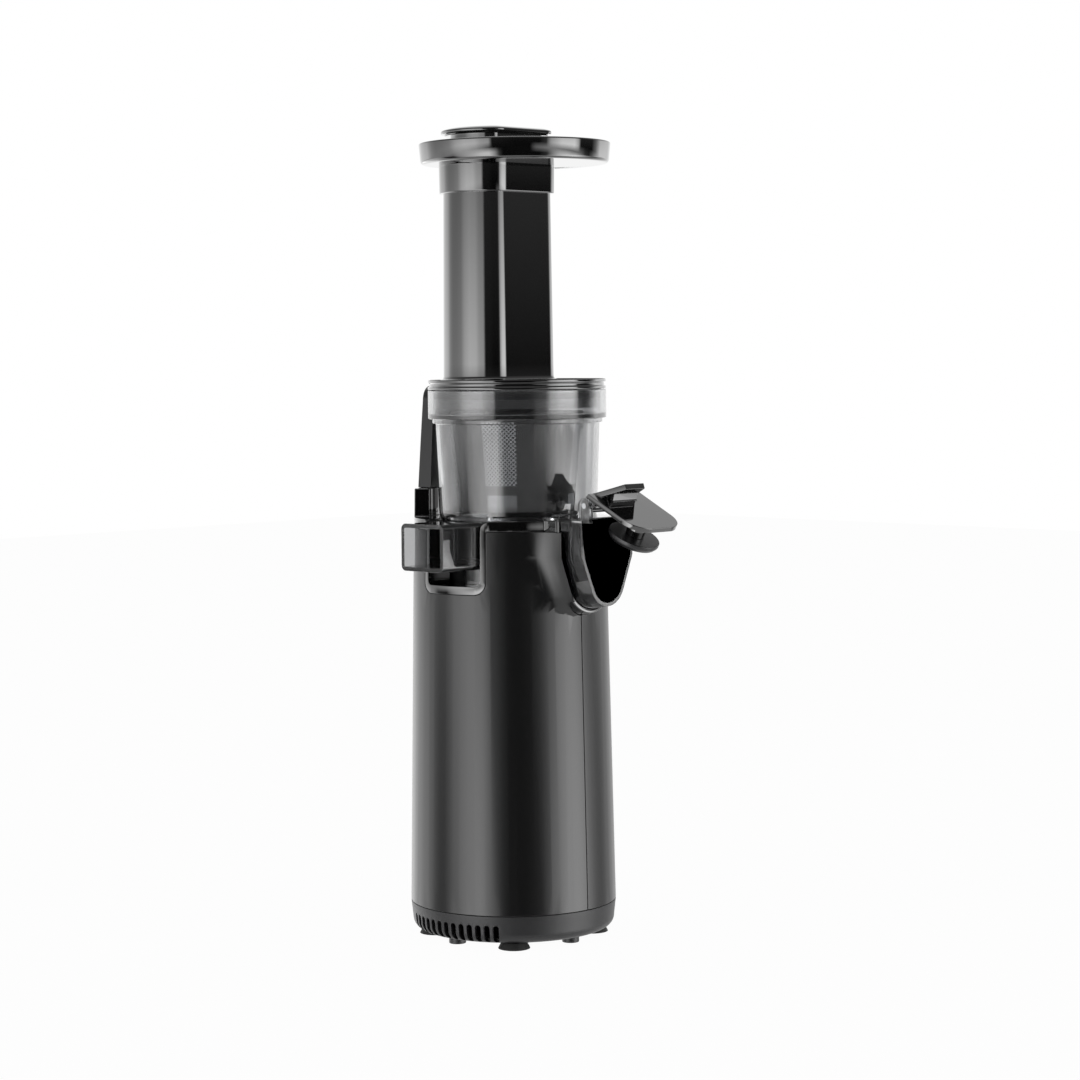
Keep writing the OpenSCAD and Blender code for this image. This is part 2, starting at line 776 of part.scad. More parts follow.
// The arm seen from behind: it narrows upwards and has a round top
module arm_outline(z0) {
    w0 = housing_top_r * sin(arm_half_angle);
    round_z = housing_top_z + arm_h - arm_round_r;
    corner = [for (a = [0:arm_round_step:90])
        [arm_half_w_top - arm_round_r * (1 - cos(a)), round_z + arm_round_r * sin(a)]];
    polygon(concat([[-w0, z0], [w0, z0]], corner,
        [for (i = [len(corner) - 1:-1:0]) [-corner[i][0], corner[i][1]]]));
}

module lock_sensor() color("#e8e4d8") home() translate([0, sensor_y, sensor_z])
    cube([sensor_w, sensor_t, sensor_h], center = true);

module base_profile(inset) {
    r1 = housing_r(seam_z) - inset;
    round_r = base_round_r - min(inset, base_round_r / 2);
    knee_r = base_foot_r + base_round_r - inset;
    z0 = base_z + inset;
    top = inset > 0 ? seam_z + over : seam_z;
    polygon([[0, z0], [knee_r - round_r, z0], [knee_r, z0 + round_r], [r1, top], [0, top]]);
    intersection() {
        translate([knee_r - round_r, z0 + round_r]) circle(r = round_r);
        square([2 * housing_bottom_r, seam_z]);
    }
}

module base_cap() color("#2b2c2e") home() {
    difference() {
        union() {
            difference() {
                rotate_extrude() base_profile(0);
                rotate_extrude() base_profile(base_wall);
            }
            for (angle = base_boss_angles) rotate([0, 0, angle]) translate([base_ring_r, 0, base_z])
                cylinder(r = boss_r, h = seam_z - base_z);
            for (angle = [0:90:270]) rotate([0, 0, angle]) translate([foot_ring_r, 0, stub_z])
                cylinder(r = stub_r, h = base_z - stub_z + base_wall / 2);
        }
        for (side = [-1, 1]) for (i = [0:vent_count - 1])
            rotate([0, 0, -90 + side * (vent_start + i * vent_pitch)]) vent();
        for (angle = base_boss_angles) rotate([0, 0, angle]) translate([base_ring_r, 0, 0]) {
            cylinder(r = screw_r, h = 2 * seam_z);
            cylinder(r = screw_head_r + gap, h = base_z + screw_head_h + base_wall);
        }
        for (angle = [45:90:315]) rotate([0, 0, angle]) translate([foot_ring_r, 0, 0])
            cylinder(r = foot_stem_r, h = base_z + 2 * base_wall);
    }
}

module vent() translate([base_ring_r + boss_r + gap, 0, vent_z]) rotate([90, 0, 90])
    linear_extrude(2 * boss_r) {
    translate([-vent_w / 2, vent_w / 2]) square([vent_w, vent_h - vent_w]);
    for (z = [vent_w / 2, vent_h - vent_w / 2]) translate([0, z]) circle(r = vent_w / 2);
}

module suction_feet() color("#141415") home() for (angle = [45:90:315]) rotate([0, 0, angle])
    translate([foot_ring_r, 0, 0]) {
        difference() {
            cylinder(r1 = foot_r, r2 = foot_r - foot_taper, h = base_z - stub_z / 2);
            translate([0, 0, -over]) cylinder(r1 = foot_cup_r + over, r2 = over, h = foot_cup_h + over);
        }
        cylinder(r = foot_stem_r, h = base_z + base_wall);
    }

module bowl() color("#5b5e62", 0.6) home() difference() {
    union() {
        difference() {
            union() {
                at(axis_o) rotate_extrude() bowl_outside();
                duct_outside();
                spout_outside();
            }
            at(axis_o) rotate_extrude() bowl_inside();
        }
        at(axis_o, sump_z) cylinder(r = hub_r, h = hub_h);
        spout_gate();
    }
    at(axis_o, 0) cylinder(r = hub_bore_r - seal_lip, h = sump_z + hub_h - seal_h);
    at(axis_o, sump_z + hub_h - seal_h) cylinder(r = hub_bore_r, h = hub_h);
    translate([-duct_reach - over, -bowl_offset - duct_w / 2 + spout_wall, duct_z + spout_wall])
        cube([duct_reach - strainer_foot_r, duct_w - 2 * spout_wall, duct_h - 2 * spout_wall]);
    spout_form(-spout_wall, bowl_offset + sump_r - bowl_wall - over, spout_reach - gate_depth,
        spout_roof_z - spout_wall);
    spout_form(-spout_wall, spout_reach - gate_depth + gate_t, 2 * spout_reach, spout_roof_z - spout_wall);
    translate([0, 0, gate_z]) rotate([90, 0, 0]) cylinder(r = gate_hole_r, h = spout_reach);
    at([-plug_hole_x, -bowl_offset]) cylinder(r = pulp_plug_r, h = sump_z + sump_floor_t + over);
    translate([-spout_half_w, -hinge_reach, hinge_z]) rotate([0, 90, 0])
        cylinder(r = pin_r, h = 2 * spout_half_w);
}

module bowl_outside() polygon([
    [0, sump_z], [sump_r, sump_z], [sump_r, bowl_foot_z], [bowl_foot_r, bowl_foot_z],
    [bowl_foot_r + (bowl_top_r - bowl_foot_r) * bowl_knee_share, bowl_foot_z + bowl_foot_h],
    [bowl_top_r, collar_z - collar_lip_h], [bowl_top_r + collar_lip_w, collar_z - collar_lip_h],
    [bowl_top_r + collar_lip_w, collar_z], [collar_r, collar_z], [collar_r, rim_z], [0, rim_z]]);

module bowl_inside() polygon([[0, sump_z + sump_floor_t], [sump_r - bowl_wall, sump_z + sump_floor_t],
    [sump_r - bowl_wall, bowl_foot_z + bowl_wall], [bowl_foot_r - bowl_wall, bowl_foot_z + 2 * bowl_wall],
    [bowl_top_r - bowl_wall, collar_z], [collar_r - collar_wall, collar_z + bowl_wall],
    [collar_r - collar_wall, rim_z + over], [0, rim_z + over]]);

module duct_outside() translate([-duct_reach, -bowl_offset, duct_z + duct_h / 2]) rotate([90, 0, 90])
    linear_extrude(duct_reach - sump_r + bowl_wall) {
        square([duct_w, duct_h - 2 * duct_round_r], center = true);
        square([duct_w - 2 * duct_round_r, duct_h], center = true);
        for (x = [-1, 1]) for (y = [-1, 1])
            translate([x * (duct_w / 2 - duct_round_r), y * (duct_h / 2 - duct_round_r)])
                circle(r = duct_round_r);
    }

module spout_outside() {
    spout_form(0, bowl_offset + sump_r - bowl_wall, spout_reach, spout_roof_z);
    for (side = [-1, 1]) translate([side > 0 ? ear_in : -ear_in - ear_t, -hinge_reach, 0]) {
        translate([0, 0, hinge_z]) rotate([0, 90, 0]) cylinder(r = ear_r, h = ear_t);
        translate([0, -ear_r, spout_roof_z - spout_wall])
            cube([ear_t, 2 * ear_r, hinge_z - spout_roof_z + spout_wall]);
        translate([0, -ear_r, spout_roof_z - spout_wall]) cube([ear_t, 3 * ear_r, spout_wall]);
    }
}

// The wall inside the spout, with the round hole that the cap's plug closes
module spout_gate() intersection() {
    spout_form(-spout_wall / 2, spout_reach - gate_depth, spout_reach - gate_depth + gate_t, spout_roof_z);
    spout_form(0, spout_reach - gate_depth, spout_reach - gate_depth + gate_t, spout_roof_z);
}

module bowl_shaft_seal() color("#8d8d90") home() at(axis_o, sump_z + hub_h - seal_h)
    ring(hub_bore_r, insert_r + gap, seal_h);

module pulp_plug() color("#8d8d90") home() at([-plug_hole_x, -bowl_offset], sump_z - gap / 2) {
    cylinder(r = pulp_plug_r, h = sump_floor_t + gap);
}

module cap_hinge_pin() color("silver") home() translate([-pin_half_l, -hinge_reach, hinge_z])
    rotate([0, 90, 0]) cylinder(r = pin_r, h = 2 * pin_half_l);

// The spout cap is drawn level and then tilted open about its pin
module cap_pose() translate([0, -hinge_reach, hinge_z]) rotate([cap_open_tilt, 0, 0]) children();

module spout_cap() color("#1b1b1d") home() cap_pose() difference() {
    union() {
        translate([-knuckle_half_l, 0, 0]) rotate([0, 90, 0]) cylinder(r = knuckle_r, h = 2 * knuckle_half_l);
        translate([0, 0, paddle_rise]) linear_extrude(paddle_t) paddle_outline();
        translate([-knuckle_half_l + gap, -knuckle_r, pin_r])
            cube([2 * (knuckle_half_l - gap), knuckle_r, paddle_rise]);
        rotate([-cap_open_tilt - thumb_rise, 0, 0]) translate([0, 0, thumb_base])
            linear_extrude(thumb_t) thumb_outline();
        translate([-web_half_w, 0, 0]) rotate([90, 0, 90]) linear_extrude(2 * web_half_w) web_profile();
        translate([0, -plug_along, paddle_rise - plug_drop])
            cylinder(r = plug_stem_r, h = plug_drop + paddle_t / 2);
    }
    translate([-paddle_w, 0, 0]) rotate([0, 90, 0]) cylinder(r = pin_r + run_gap, h = 2 * paddle_w);
}

module paddle_outline() {
    r = paddle_round_r;
    for (side = [-1, 1]) translate([side * (paddle_w / 2 - r), -paddle_l + r]) circle(r = r);
    translate([-paddle_w / 2, -paddle_l + r]) square([paddle_w, paddle_l - r]);
    translate([-paddle_w / 2 + r, -paddle_l]) square([paddle_w - 2 * r, r]);
}

module thumb_outline() polygon([
    [-knuckle_half_l, 0], [-knuckle_half_l, -knuckle_r], [-thumb_tip_w / 2, -thumb_l],
    [thumb_tip_w / 2, -thumb_l], [knuckle_half_l, -knuckle_r], [knuckle_half_l, 0]]);

// Side view of the web between thumb tab and paddle: x is forward, y is up
module web_profile() {
    a = cap_open_tilt + thumb_rise;
    mid = thumb_base + thumb_t / 2;
    foot = [-web_l, paddle_rise + paddle_t / 2];
    head = [-web_l * cos(a) + mid * sin(a), web_l * sin(a) + mid * cos(a)];
    polygon([[0, paddle_rise], foot, web_waist_share * (foot + head), head, [0, mid]]);
}

module spout_cap_seal() color("#505256") home() cap_pose()
    translate([0, -plug_along, paddle_rise - plug_drop - plug_t]) {
        cylinder(r1 = plug_r - plug_taper, r2 = plug_r, h = plug_t / 2);
        translate([0, 0, plug_t / 2]) cylinder(r = plug_r, h = plug_t / 2);
    }

module strainer_frame() color("#2a2b2d") home() at(axis_o) {
    difference() {
        union() {
            rotate_extrude() strainer_wall_section();
            port(0);
        }
        port(-port_wall);
        translate([0, 0, duct_z]) cylinder(r = auger_r + sump_gap, h = duct_h + over);
        translate([0, 0, strainer_skirt_z]) rotate_extrude() mesh_slot();
        for (i = [0:strainer_windows - 1]) rotate([0, 0, window_turn + i * 360 / strainer_windows]) {
            window(strainer_skirt_z, strainer_mid_z - strainer_ring_h / 2);
            window(strainer_mid_z + strainer_ring_h / 2, strainer_top_z - strainer_ring_h);
        }
    }
}

// The strainer's outer radius at a height
function strainer_r(z) = z > strainer_mid_z
    ? strainer_mid_r + strainer_flare * (z - strainer_mid_z) / (strainer_top_z - strainer_mid_z)
    : strainer_foot_r + strainer_swell * (z - strainer_z) / (strainer_mid_z - strainer_z);

module strainer_wall_section() polygon(concat(
    [for (z = [strainer_z, strainer_mid_z, strainer_top_z]) [strainer_r(z), z]],
    [for (z = [strainer_top_z, strainer_mid_z, strainer_z]) [strainer_r(z) - strainer_wall, z]]));

// One mesh window, from one height to another
module window(z0, z1) translate([0, 0, z0]) linear_extrude(z1 - z0)
    polygon(2 * strainer_top_r * [[0, 0], [1, tan(window_angle / 2)], [1, -tan(window_angle / 2)]]);

module mesh_slot() translate([0, -strainer_skirt_z]) polygon(concat(
    [for (z = [mesh_z0 - run_gap, strainer_mid_z, mesh_z1 + run_gap])
        [strainer_r(z) - mesh_inset + run_gap, z]],
    [for (z = [mesh_z1 + run_gap, strainer_mid_z, mesh_z0 - run_gap])
        [strainer_r(z) - mesh_inset - mesh_t - run_gap, z]]));

module strainer_mesh() color("#c9ccd0") home() at(axis_o) rotate_extrude() polygon(concat(
    [for (z = [mesh_z0, strainer_mid_z, mesh_z1]) [strainer_r(z) - mesh_inset, z]],
    [for (z = [mesh_z1, strainer_mid_z, mesh_z0]) [strainer_r(z) - mesh_inset - mesh_t, z]]));

// The pulp port at the strainer's foot, grown or shrunk by an amount
module port(grow) {
    w = duct_w - 2 * spout_wall - 2 * gap + 2 * grow;
    h = duct_h - 2 * spout_wall - 2 * gap + 2 * grow;
    translate([-sump_r + bowl_wall + gap - (grow < 0 ? over : 0), -w / 2, duct_z + duct_h / 2 - h / 2])
        cube([sump_r - bowl_wall - gap - strainer_foot_r + 2 * strainer_wall
            + (grow < 0 ? 2 * over : 0), w, h]);
}

module auger() color("#2c2c2f") home() at(axis_o) {
    translate([0, 0, auger_z]) linear_extrude(auger_h, twist = -360 * auger_turns, slices = 30)
        auger_section();
    difference() {
        translate([0, 0, insert_z + hub_clear])
            cylinder(r = auger_core_r, h = auger_z - insert_z - hub_clear + over);
        translate([0, 0, insert_z + hub_clear - over]) cylinder(r = hub_r + sump_gap, h = auger_skirt_h);
        cylinder(r = insert_r, h = insert_z + insert_h);
    }
    translate([0, 0, auger_z + auger_h - over]) cylinder(r = auger_pin_r, h = auger_pin_h + over);
}

module auger_section() {
    circle(r = auger_core_r * auger_core_share, $fn = 40);
    for (i = [0:1]) rotate(180 * i) polygon([[0, -flight_t], [auger_r - flight_t / 2, -flight_t / 2],
        [auger_r, 0], [auger_r - flight_t / 2, flight_t / 2], [0, flight_t]]);
}

module auger_drive_insert() color("silver") home() at(axis_o, insert_z) difference() {
    cylinder(r = insert_r, h = insert_h);
    translate([0, 0, -over]) cylinder(r = (hex_w / 2 + hex_gap) / cos(30), h = hex_depth + over, $fn = 6);
}

// The lid, its chute and the tray
module d_outline(r, flat, corner) {
    xc = sqrt(pow(r - corner, 2) - pow(flat - corner, 2));
    yc = -(flat - corner);
    difference() {
        circle(r = r);
        polygon([[0, 0], 3 * [-xc, yc], [0, -4 * r], 3 * [xc, yc]]);
    }
    for (side = [-1, 1]) translate([side * xc, yc]) circle(r = corner);
    translate([-xc, -flat]) square([2 * xc, flat]);
    polygon([[0, 0], [-xc, yc], [xc, yc]]);
}

module lid_chute() color("#1b1b1d") home() {
    difference() {
        union() {
            at(axis_o, lid_z) cylinder(r = collar_r, h = lid_lip_h);
            at(axis_o, lid_z + lid_lip_h)
                cylinder(r = collar_r - lid_lip_w, h = lid_flange_h - 2 * lid_lip_h);
            at(axis_o, lid_top_z - lid_lip_h) cylinder(r = collar_r, h = lid_lip_h);
            at(axis_o, lid_z - lid_skirt_h)
                cylinder(r = collar_r - collar_wall - lid_skirt_gap, h = lid_skirt_h + over);
            at([0, chute_offset], lid_top_z - over) linear_extrude(chute_top_z - lid_top_z + over)
                d_outline(chute_r, chute_flat, chute_corner_r);
            at(axis_o, lid_z - tab_h) lid_tab();
        }
        at(axis_o, lid_z - lid_skirt_h - over)
            cylinder(r = collar_r - collar_wall - lid_skirt_gap - lid_skirt_wall, h = lid_skirt_h + over);
        at([0, chute_offset], lid_z - over) linear_extrude(chute_top_z)
            d_outline(chute_inner_r, chute_inner_flat, chute_corner_r - chute_wall);
        at(axis_o, lid_z - lid_seal_h - lid_seal_drop) ring(collar_r, seal_seat_r, lid_seal_h);
        at(axis_o + [0, collar_r + tab_reach - magnet_h], lid_z - tab_h / 2)
            rotate([-90, 0, 0]) cylinder(r = magnet_r, h = 2 * magnet_h);
    }
    difference() {
        union() {
            at(axis_o, lid_top_z - bridge_h) cylinder(r = bridge_boss_r, h = bridge_h);
            translate([-bridge_w / 2, chute_offset - chute_inner_flat - chute_wall / 2, lid_top_z - bridge_h])
                cube([bridge_w, chute_inner_flat + chute_wall / 2 - chute_offset - bowl_offset, bridge_h]);
        }
        at(axis_o, 0) cylinder(r = auger_pin_r + run_gap, h = lid_top_z - chute_wall);
    }
}

module lid_tab() intersection() {
    union() {
        ring(collar_r + tab_reach, collar_r + tab_gap, tab_h + lid_lip_h);
        translate([0, 0, tab_h]) ring(collar_r + tab_reach, collar_r - lid_lip_w, lid_lip_h);
    }
    translate([-tab_half_w, 0, 0]) cube([2 * tab_half_w, 2 * collar_r, tab_h + lid_flange_h]);
}

module lid_seal() color("#8d8d90") home() at(axis_o, lid_z - lid_seal_h - lid_seal_drop)
    ring(collar_r - collar_wall - lid_skirt_gap + lid_seal_bulge, seal_seat_r, lid_seal_h);

module lid_magnet() color("silver") home()
    at(axis_o + [0, collar_r + tab_reach - magnet_h], lid_z - tab_h / 2) rotate([-90, 0, 0])
        cylinder(r = magnet_r, h = magnet_h - run_gap);

module hopper_tray() color("#1b1b1d") home() {
    difference() {
        union() {
            at(axis_o, tray_z) rotate_extrude() tray_outside();
            at([0, chute_offset], tray_z - tray_collar_h) linear_extrude(tray_collar_h + over)
                d_outline(chute_r + gap / 2 + tray_collar_wall, chute_flat + gap / 2 + tray_collar_wall,
                    chute_corner_r + gap / 2 + tray_collar_wall);
        }
        at(axis_o, tray_z) rotate_extrude() tray_inside();
        at([0, chute_offset], tray_z - tray_collar_h - over) linear_extrude(tray_collar_h + over)
            d_outline(chute_r + gap / 2, chute_flat + gap / 2, chute_corner_r + gap / 2);
        at([0, chute_offset], tray_z - over) linear_extrude(2 * tray_h)
            d_outline(chute_inner_r, chute_inner_flat, chute_corner_r - chute_wall);
    }
}

module tray_outside() {
    r = tray_round_r;
    polygon([[0, 0], [tray_r - tray_taper - r, 0], [tray_r - tray_taper, r], [tray_r, tray_h], [0, tray_h]]);
    translate([tray_r - tray_taper - r, r]) circle(r = r);
}

module tray_inside() {
    r = tray_round_r;
    polygon([[0, tray_wall + tray_dish], [tray_dish_r, tray_wall + tray_dish / 2],
        [tray_r - tray_taper - tray_wall - r, tray_wall + tray_dish],
        [tray_r - tray_taper - tray_wall, tray_wall + tray_dish + r],
        [tray_r - tray_wall, tray_h + over], [0, tray_h + over]]);
}

module pusher_body() color("#1b1b1d") home() at([0, chute_offset]) {
    translate([0, 0, pusher_foot_z]) linear_extrude(pusher_foot_h)
        d_outline(pusher_r, pusher_flat, chute_corner_r - chute_wall);
    translate([0, 0, pusher_foot_z + pusher_foot_h])
        linear_extrude(pusher_cap_z - pusher_foot_z - pusher_foot_h)
            d_outline(pusher_r - pusher_waist, pusher_flat - pusher_waist, chute_corner_r - chute_wall);
}

module pusher_cap() color("#1b1b1d") home() at([0, chute_offset], pusher_cap_z) {
    linear_extrude(pusher_flange_h - cap_dome_h)
        d_outline(pusher_flange_r, chute_flat + pusher_lip, chute_corner_r);
    translate([0, 0, pusher_flange_h - cap_dome_h]) linear_extrude(cap_dome_h)
        d_outline(pusher_flange_r - cap_dome_h, chute_flat + pusher_lip - cap_dome_h,
            chute_corner_r - cap_dome_h);
}

// The drive, from the output shaft down to the fan
module drive_shaft() color("silver") home() at(axis_o) {
    translate([0, 0, layer3_z]) cylinder(r = shaft_r, h = hex_z - layer3_z);
    translate([0, 0, hex_z - over])
        cylinder(r = hex_w / 2 / cos(30), h = shaft_top_z - hex_z + over, $fn = 6);
}

module output_gear() color("#8a7d5c") home() at(axis_o, layer3_z) difference() {
    rotate(60 + 180 / wheel_teeth) gear(wheel_teeth, slow_gear_w);
    translate([0, 0, -over]) cylinder(r = shaft_r, h = slow_gear_w + 2 * over);
}

module compound_gear(z_wheel, z_pinion, pinion_w, wheel_angle, pinion_angle) {
    difference() {
        union() {
            translate([0, 0, z_wheel]) rotate(wheel_angle + 180 / wheel_teeth) gear(wheel_teeth, fast_gear_w);
            translate([0, 0, z_wheel + fast_gear_w])
                cylinder(r = pinion_root_r, h = z_pinion - z_wheel - fast_gear_w);
            translate([0, 0, z_pinion]) rotate(pinion_angle) gear(pinion_teeth, pinion_w);
        }
        translate([0, 0, z_wheel - over])
            cylinder(r = arbor_r + run_gap, h = z_pinion + pinion_w - z_wheel + 2 * over);
    }
}

module gear_b() color("#d8d2c0") home() at(axis_b)
    compound_gear(layer2_z, layer3_z, slow_gear_w, 180, 240);

module gear_a() color("#d8d2c0") home() at(axis_a)
    compound_gear(layer1_z, layer2_z, fast_gear_w, 300, 0);

module motor_pinion() color("#b9a46a") home() at(axis_o, layer1_z) difference() {
    rotate(120) gear(pinion_teeth, fast_gear_w);
    translate([0, 0, -over]) cylinder(r = pinion_shaft_r, h = fast_gear_w + 2 * over);
}

function screw_place(angle) = case_centre + (case_r + case_flange_w / 2) * [cos(angle), sin(angle)];
function post_place(angle) = axis_o + post_ring_r * [cos(angle), sin(angle)];

module gear_arbors() color("silver") home() for (axis = [axis_a, axis_b])
    at(axis, case_z + case_floor_t / 2)
        cylinder(r = arbor_r, h = cover_z + cover_t / 2 - case_z - case_floor_t / 2);

module shaft_bushes() color("#b98d4f") home() at(axis_o, cover_z)
    ring(shaft_r + run_gap + bush_wall, shaft_r + run_gap, bush_h);

module gearbox_case() color("#9a9da0") home() difference() {
    union() {
        at(case_centre, case_z) cylinder(r = case_r, h = cover_z - case_z);
        at(case_centre, cover_z - case_flange_h) cylinder(r = case_r + case_flange_w, h = case_flange_h);
    }
    at(case_centre, case_z + case_floor_t) cylinder(r = case_inner_r, h = cover_z);
    at(axis_o, case_z - over) cylinder(r = bearing_r + gap, h = 2 * case_floor_t);
    for (axis = [axis_a, axis_b]) at(axis, case_z + case_floor_t / 2) cylinder(r = arbor_r, h = case_floor_t);
    for (angle = case_screw_angles) at(screw_place(angle)) {
        cylinder(r = screw_r, h = cover_z + over);
        cylinder(r = screw_head_r + gap, h = cover_z - case_flange_h);
    }
    for (angle = [45:90:315]) at(axis_o + motor_screw_ring_r * [cos(angle), sin(angle)], case_z - over)
        cylinder(r = screw_r, h = 2 * case_floor_t);
}

module gearbox_cover() color("#9a9da0") home() difference() {
    union() {
        at(case_centre, cover_z) cylinder(r = case_r + case_flange_w, h = cover_t);
        at(axis_o, cover_z) cylinder(r = shaft_r + run_gap + 2 * bush_wall + over, h = cover_boss_h);
        for (angle = post_angles) at(post_place(angle), cover_z)
            cylinder(r = post_r, h = post_top_z - cover_z);
    }
    at(axis_o, cover_z - over) cylinder(r = shaft_r + run_gap + bush_wall, h = cover_boss_h + 2 * over);
    for (axis = [axis_a, axis_b]) at(axis, 0) cylinder(r = arbor_r, h = cover_z + cover_t / 2);
    for (angle = case_screw_angles) at(screw_place(angle)) cylinder(r = screw_r, h = 2 * cover_z);
    for (angle = post_angles) at(post_place(angle), cover_z + cover_t) cylinder(r = screw_r, h = 2 * cover_z);
}

module gearbox_dampers() color("#141415") home() for (angle = post_angles)
    at(post_place(angle), post_top_z) ring(damper_r, screw_r + gap, damper_h);

module motor_can() color("#85888c") home() at(axis_o, motor_z) difference() {
    union() {
        cylinder(r = motor_r, h = motor_h);
        translate([0, 0, motor_h]) cylinder(r = motor_screw_ring_r + boss_r, h = case_z - motor_lid_z);
    }
    translate([0, 0, -over]) cylinder(r = motor_r - motor_wall, h = motor_h - end_bell_t + over);
    cylinder(r = bearing_r, h = 2 * motor_h);
    for (angle = [45:90:315]) rotate(angle) translate([motor_screw_ring_r, 0, motor_h - end_bell_t - over])
        cylinder(r = screw_r, h = 3 * end_bell_t);
}

module motor_end_bell() color("#2b2c2e") home() at(axis_o, motor_z) difference() {
    union() {
        translate([0, 0, -end_bell_t]) cylinder(r = motor_r, h = end_bell_t);
        cylinder(r = motor_r - motor_wall, h = end_bell_t);
        for (angle = [0, 180]) rotate(angle)
            translate([brush_x, -brush_w / 2 - motor_wall, end_bell_t - over])
                cube([brush_l, brush_w + 2 * motor_wall, commutator_h]);
    }
    translate([0, 0, -2 * end_bell_t]) cylinder(r = bearing_r, h = 4 * end_bell_t);
    for (angle = [0, 180]) rotate(angle) translate([brush_x - over, -brush_w / 2, brush_z])
        cube([2 * brush_l, brush_w, brush_w]);
}

module motor_brushes() color("#3b3b3b") home() at(axis_o, motor_z) for (angle = [0, 180]) rotate(angle)
    translate([commutator_r + gap / 2, -brush_w / 2, brush_z])
        cube([brush_x + brush_l - commutator_r - gap, brush_w, brush_w]);

module motor_bearings() color("silver") home() for (z = [motor_z - end_bell_t, case_z - bearing_h])
    at(axis_o, z) ring(bearing_r, motor_shaft_r + run_gap, bearing_h);

module motor_magnets() color("#4a4a4d") home() at(axis_o, magnet_z) for (angle = [0, 180]) rotate(angle)
    rotate_extrude(angle = 2 * magnet_half_angle, start = -magnet_half_angle)
        translate([motor_r - motor_wall - magnet_t, 0]) square([magnet_t, armature_h]);

module motor_shaft() color("silver") home() at(axis_o) {
    translate([0, 0, fan_z - over]) cylinder(r = motor_shaft_r, h = case_z + over - fan_z + over);
    translate([0, 0, case_z]) cylinder(r = pinion_shaft_r, h = layer1_z + fast_gear_w - case_z);
}

module motor_armature() color("#a0613a") home() at(axis_o, magnet_z)
    ring(motor_r - motor_wall - magnet_t - rotor_gap, motor_shaft_r, armature_h);

module motor_commutator() color("#c17f4a") home() at(axis_o, motor_z + end_bell_t + over)
    ring(commutator_r, motor_shaft_r, commutator_h);

module cooling_fan() color("#2b2c2e") home() at(axis_o, fan_z) difference() {
    union() {
        cylinder(r = fan_r, h = fan_blade_t);
        cylinder(r = motor_shaft_r + 2 * fan_blade_t, h = fan_h);
        for (i = [0:fan_blades - 1]) rotate(i * 360 / fan_blades)
            translate([motor_shaft_r, -fan_blade_t / 2, 0])
                cube([fan_r - motor_shaft_r - fan_blade_t, fan_blade_t, fan_h]);
    }
    translate([0, 0, -over]) cylinder(r = motor_shaft_r, h = fan_h + 2 * over);
}

module control_board() color("#2f6b3a") home() translate([board_x, -board_w / 2, board_z]) {
    cube([board_t, board_w, board_h]);
    for (p = board_parts) translate([board_t, p[0] * board_w, p[1] * board_h])
        cube([p[2] * board_t, p[3] * board_w, p[4] * board_h]);
}

module switch_body() color("#1b1b1d") home() difference() {
    union() {
        translate([-switch_w / 2, switch_y, switch_z - switch_h / 2])
            cube([switch_w, switch_depth, switch_h]);
        translate([-switch_w / 2 - bezel_w, switch_y + switch_depth, switch_z - switch_h / 2 - bezel_w])
            cube([switch_w + 2 * bezel_w, bezel_t, switch_h + 2 * bezel_w]);
    }
    translate([-rocker_w / 2 - gap, switch_y + switch_depth - rocker_d,
        switch_z - rocker_h / 2 - rocker_room])
        cube([rocker_w + 2 * gap, 2 * rocker_d, rocker_h + 2 * rocker_room]);
    translate([-switch_w, rocker_y, switch_z]) rotate([0, 90, 0])
        cylinder(r = rocker_pin_r + run_gap, h = 2 * switch_w);
}

module switch_rocker() color("#2b2c2e") home() translate([0, rocker_y, switch_z]) {
    rotate([0, 90, 0]) translate([0, 0, -rocker_w / 2]) linear_extrude(rocker_w) polygon([
        [-rocker_h / 2, 0], [-rocker_h / 2, rocker_face], [0, rocker_face - rocker_dip],
        [rocker_h / 2, rocker_face], [rocker_h / 2, 0], [0, -rocker_dip]]);
    rotate([0, 90, 0]) translate([0, 0, -rocker_w / 2 - rocker_pin_l])
        cylinder(r = rocker_pin_r, h = rocker_w + 2 * rocker_pin_l);
}

module cord_gland() color("#141415") home() at([0, housing_r(gland_z)], gland_z) rotate([90, 0, 0])
    difference() {
    union() {
        translate([0, 0, -gland_lip]) cylinder(r = gland_flange_r, h = gland_lip - gap);
        translate([0, 0, -gland_lip]) cylinder(r = gland_r, h = gland_lip + 3 * shell_wall);
    }
    translate([0, 0, -2 * gland_lip]) cylinder(r = gland_hole_r, h = gland_flange_r + 4 * shell_wall);
}

module screw(h) {
    cylinder(r = screw_r, h = h);
    cylinder(r = screw_head_r, h = screw_head_h);
}

module seat_screws() color("silver") home() for (angle = seat_boss_angles) rotate([0, 0, angle])
    translate([seat_ring_r, 0, seat_tab_z - screw_head_h]) screw(seat_tab_h + screw_head_h + 2 * boss_r);

module base_screws() color("silver") home() for (angle = base_boss_angles) rotate([0, 0, angle])
    translate([base_ring_r, 0, base_z + base_wall]) screw(seam_z - base_z + boss_r);

module gearbox_screws() color("silver") home() for (angle = case_screw_angles)
    at(screw_place(angle), cover_z - case_flange_h - screw_head_h)
        screw(case_flange_h + cover_t + screw_head_h);

module motor_screws() color("silver") home() for (angle = [45:90:315])
    at(axis_o + motor_screw_ring_r * [cos(angle), sin(angle)], motor_lid_z - end_bell_t - screw_head_h)
        screw(case_z + case_floor_t - motor_lid_z + end_bell_t + screw_head_h);

module drive_screws() color("silver") home() for (angle = post_angles)
    at(post_place(angle), seat_floor_z + seat_floor_t)
        mirror([0, 0, 1]) screw(seat_floor_t + damper_h + boss_r);

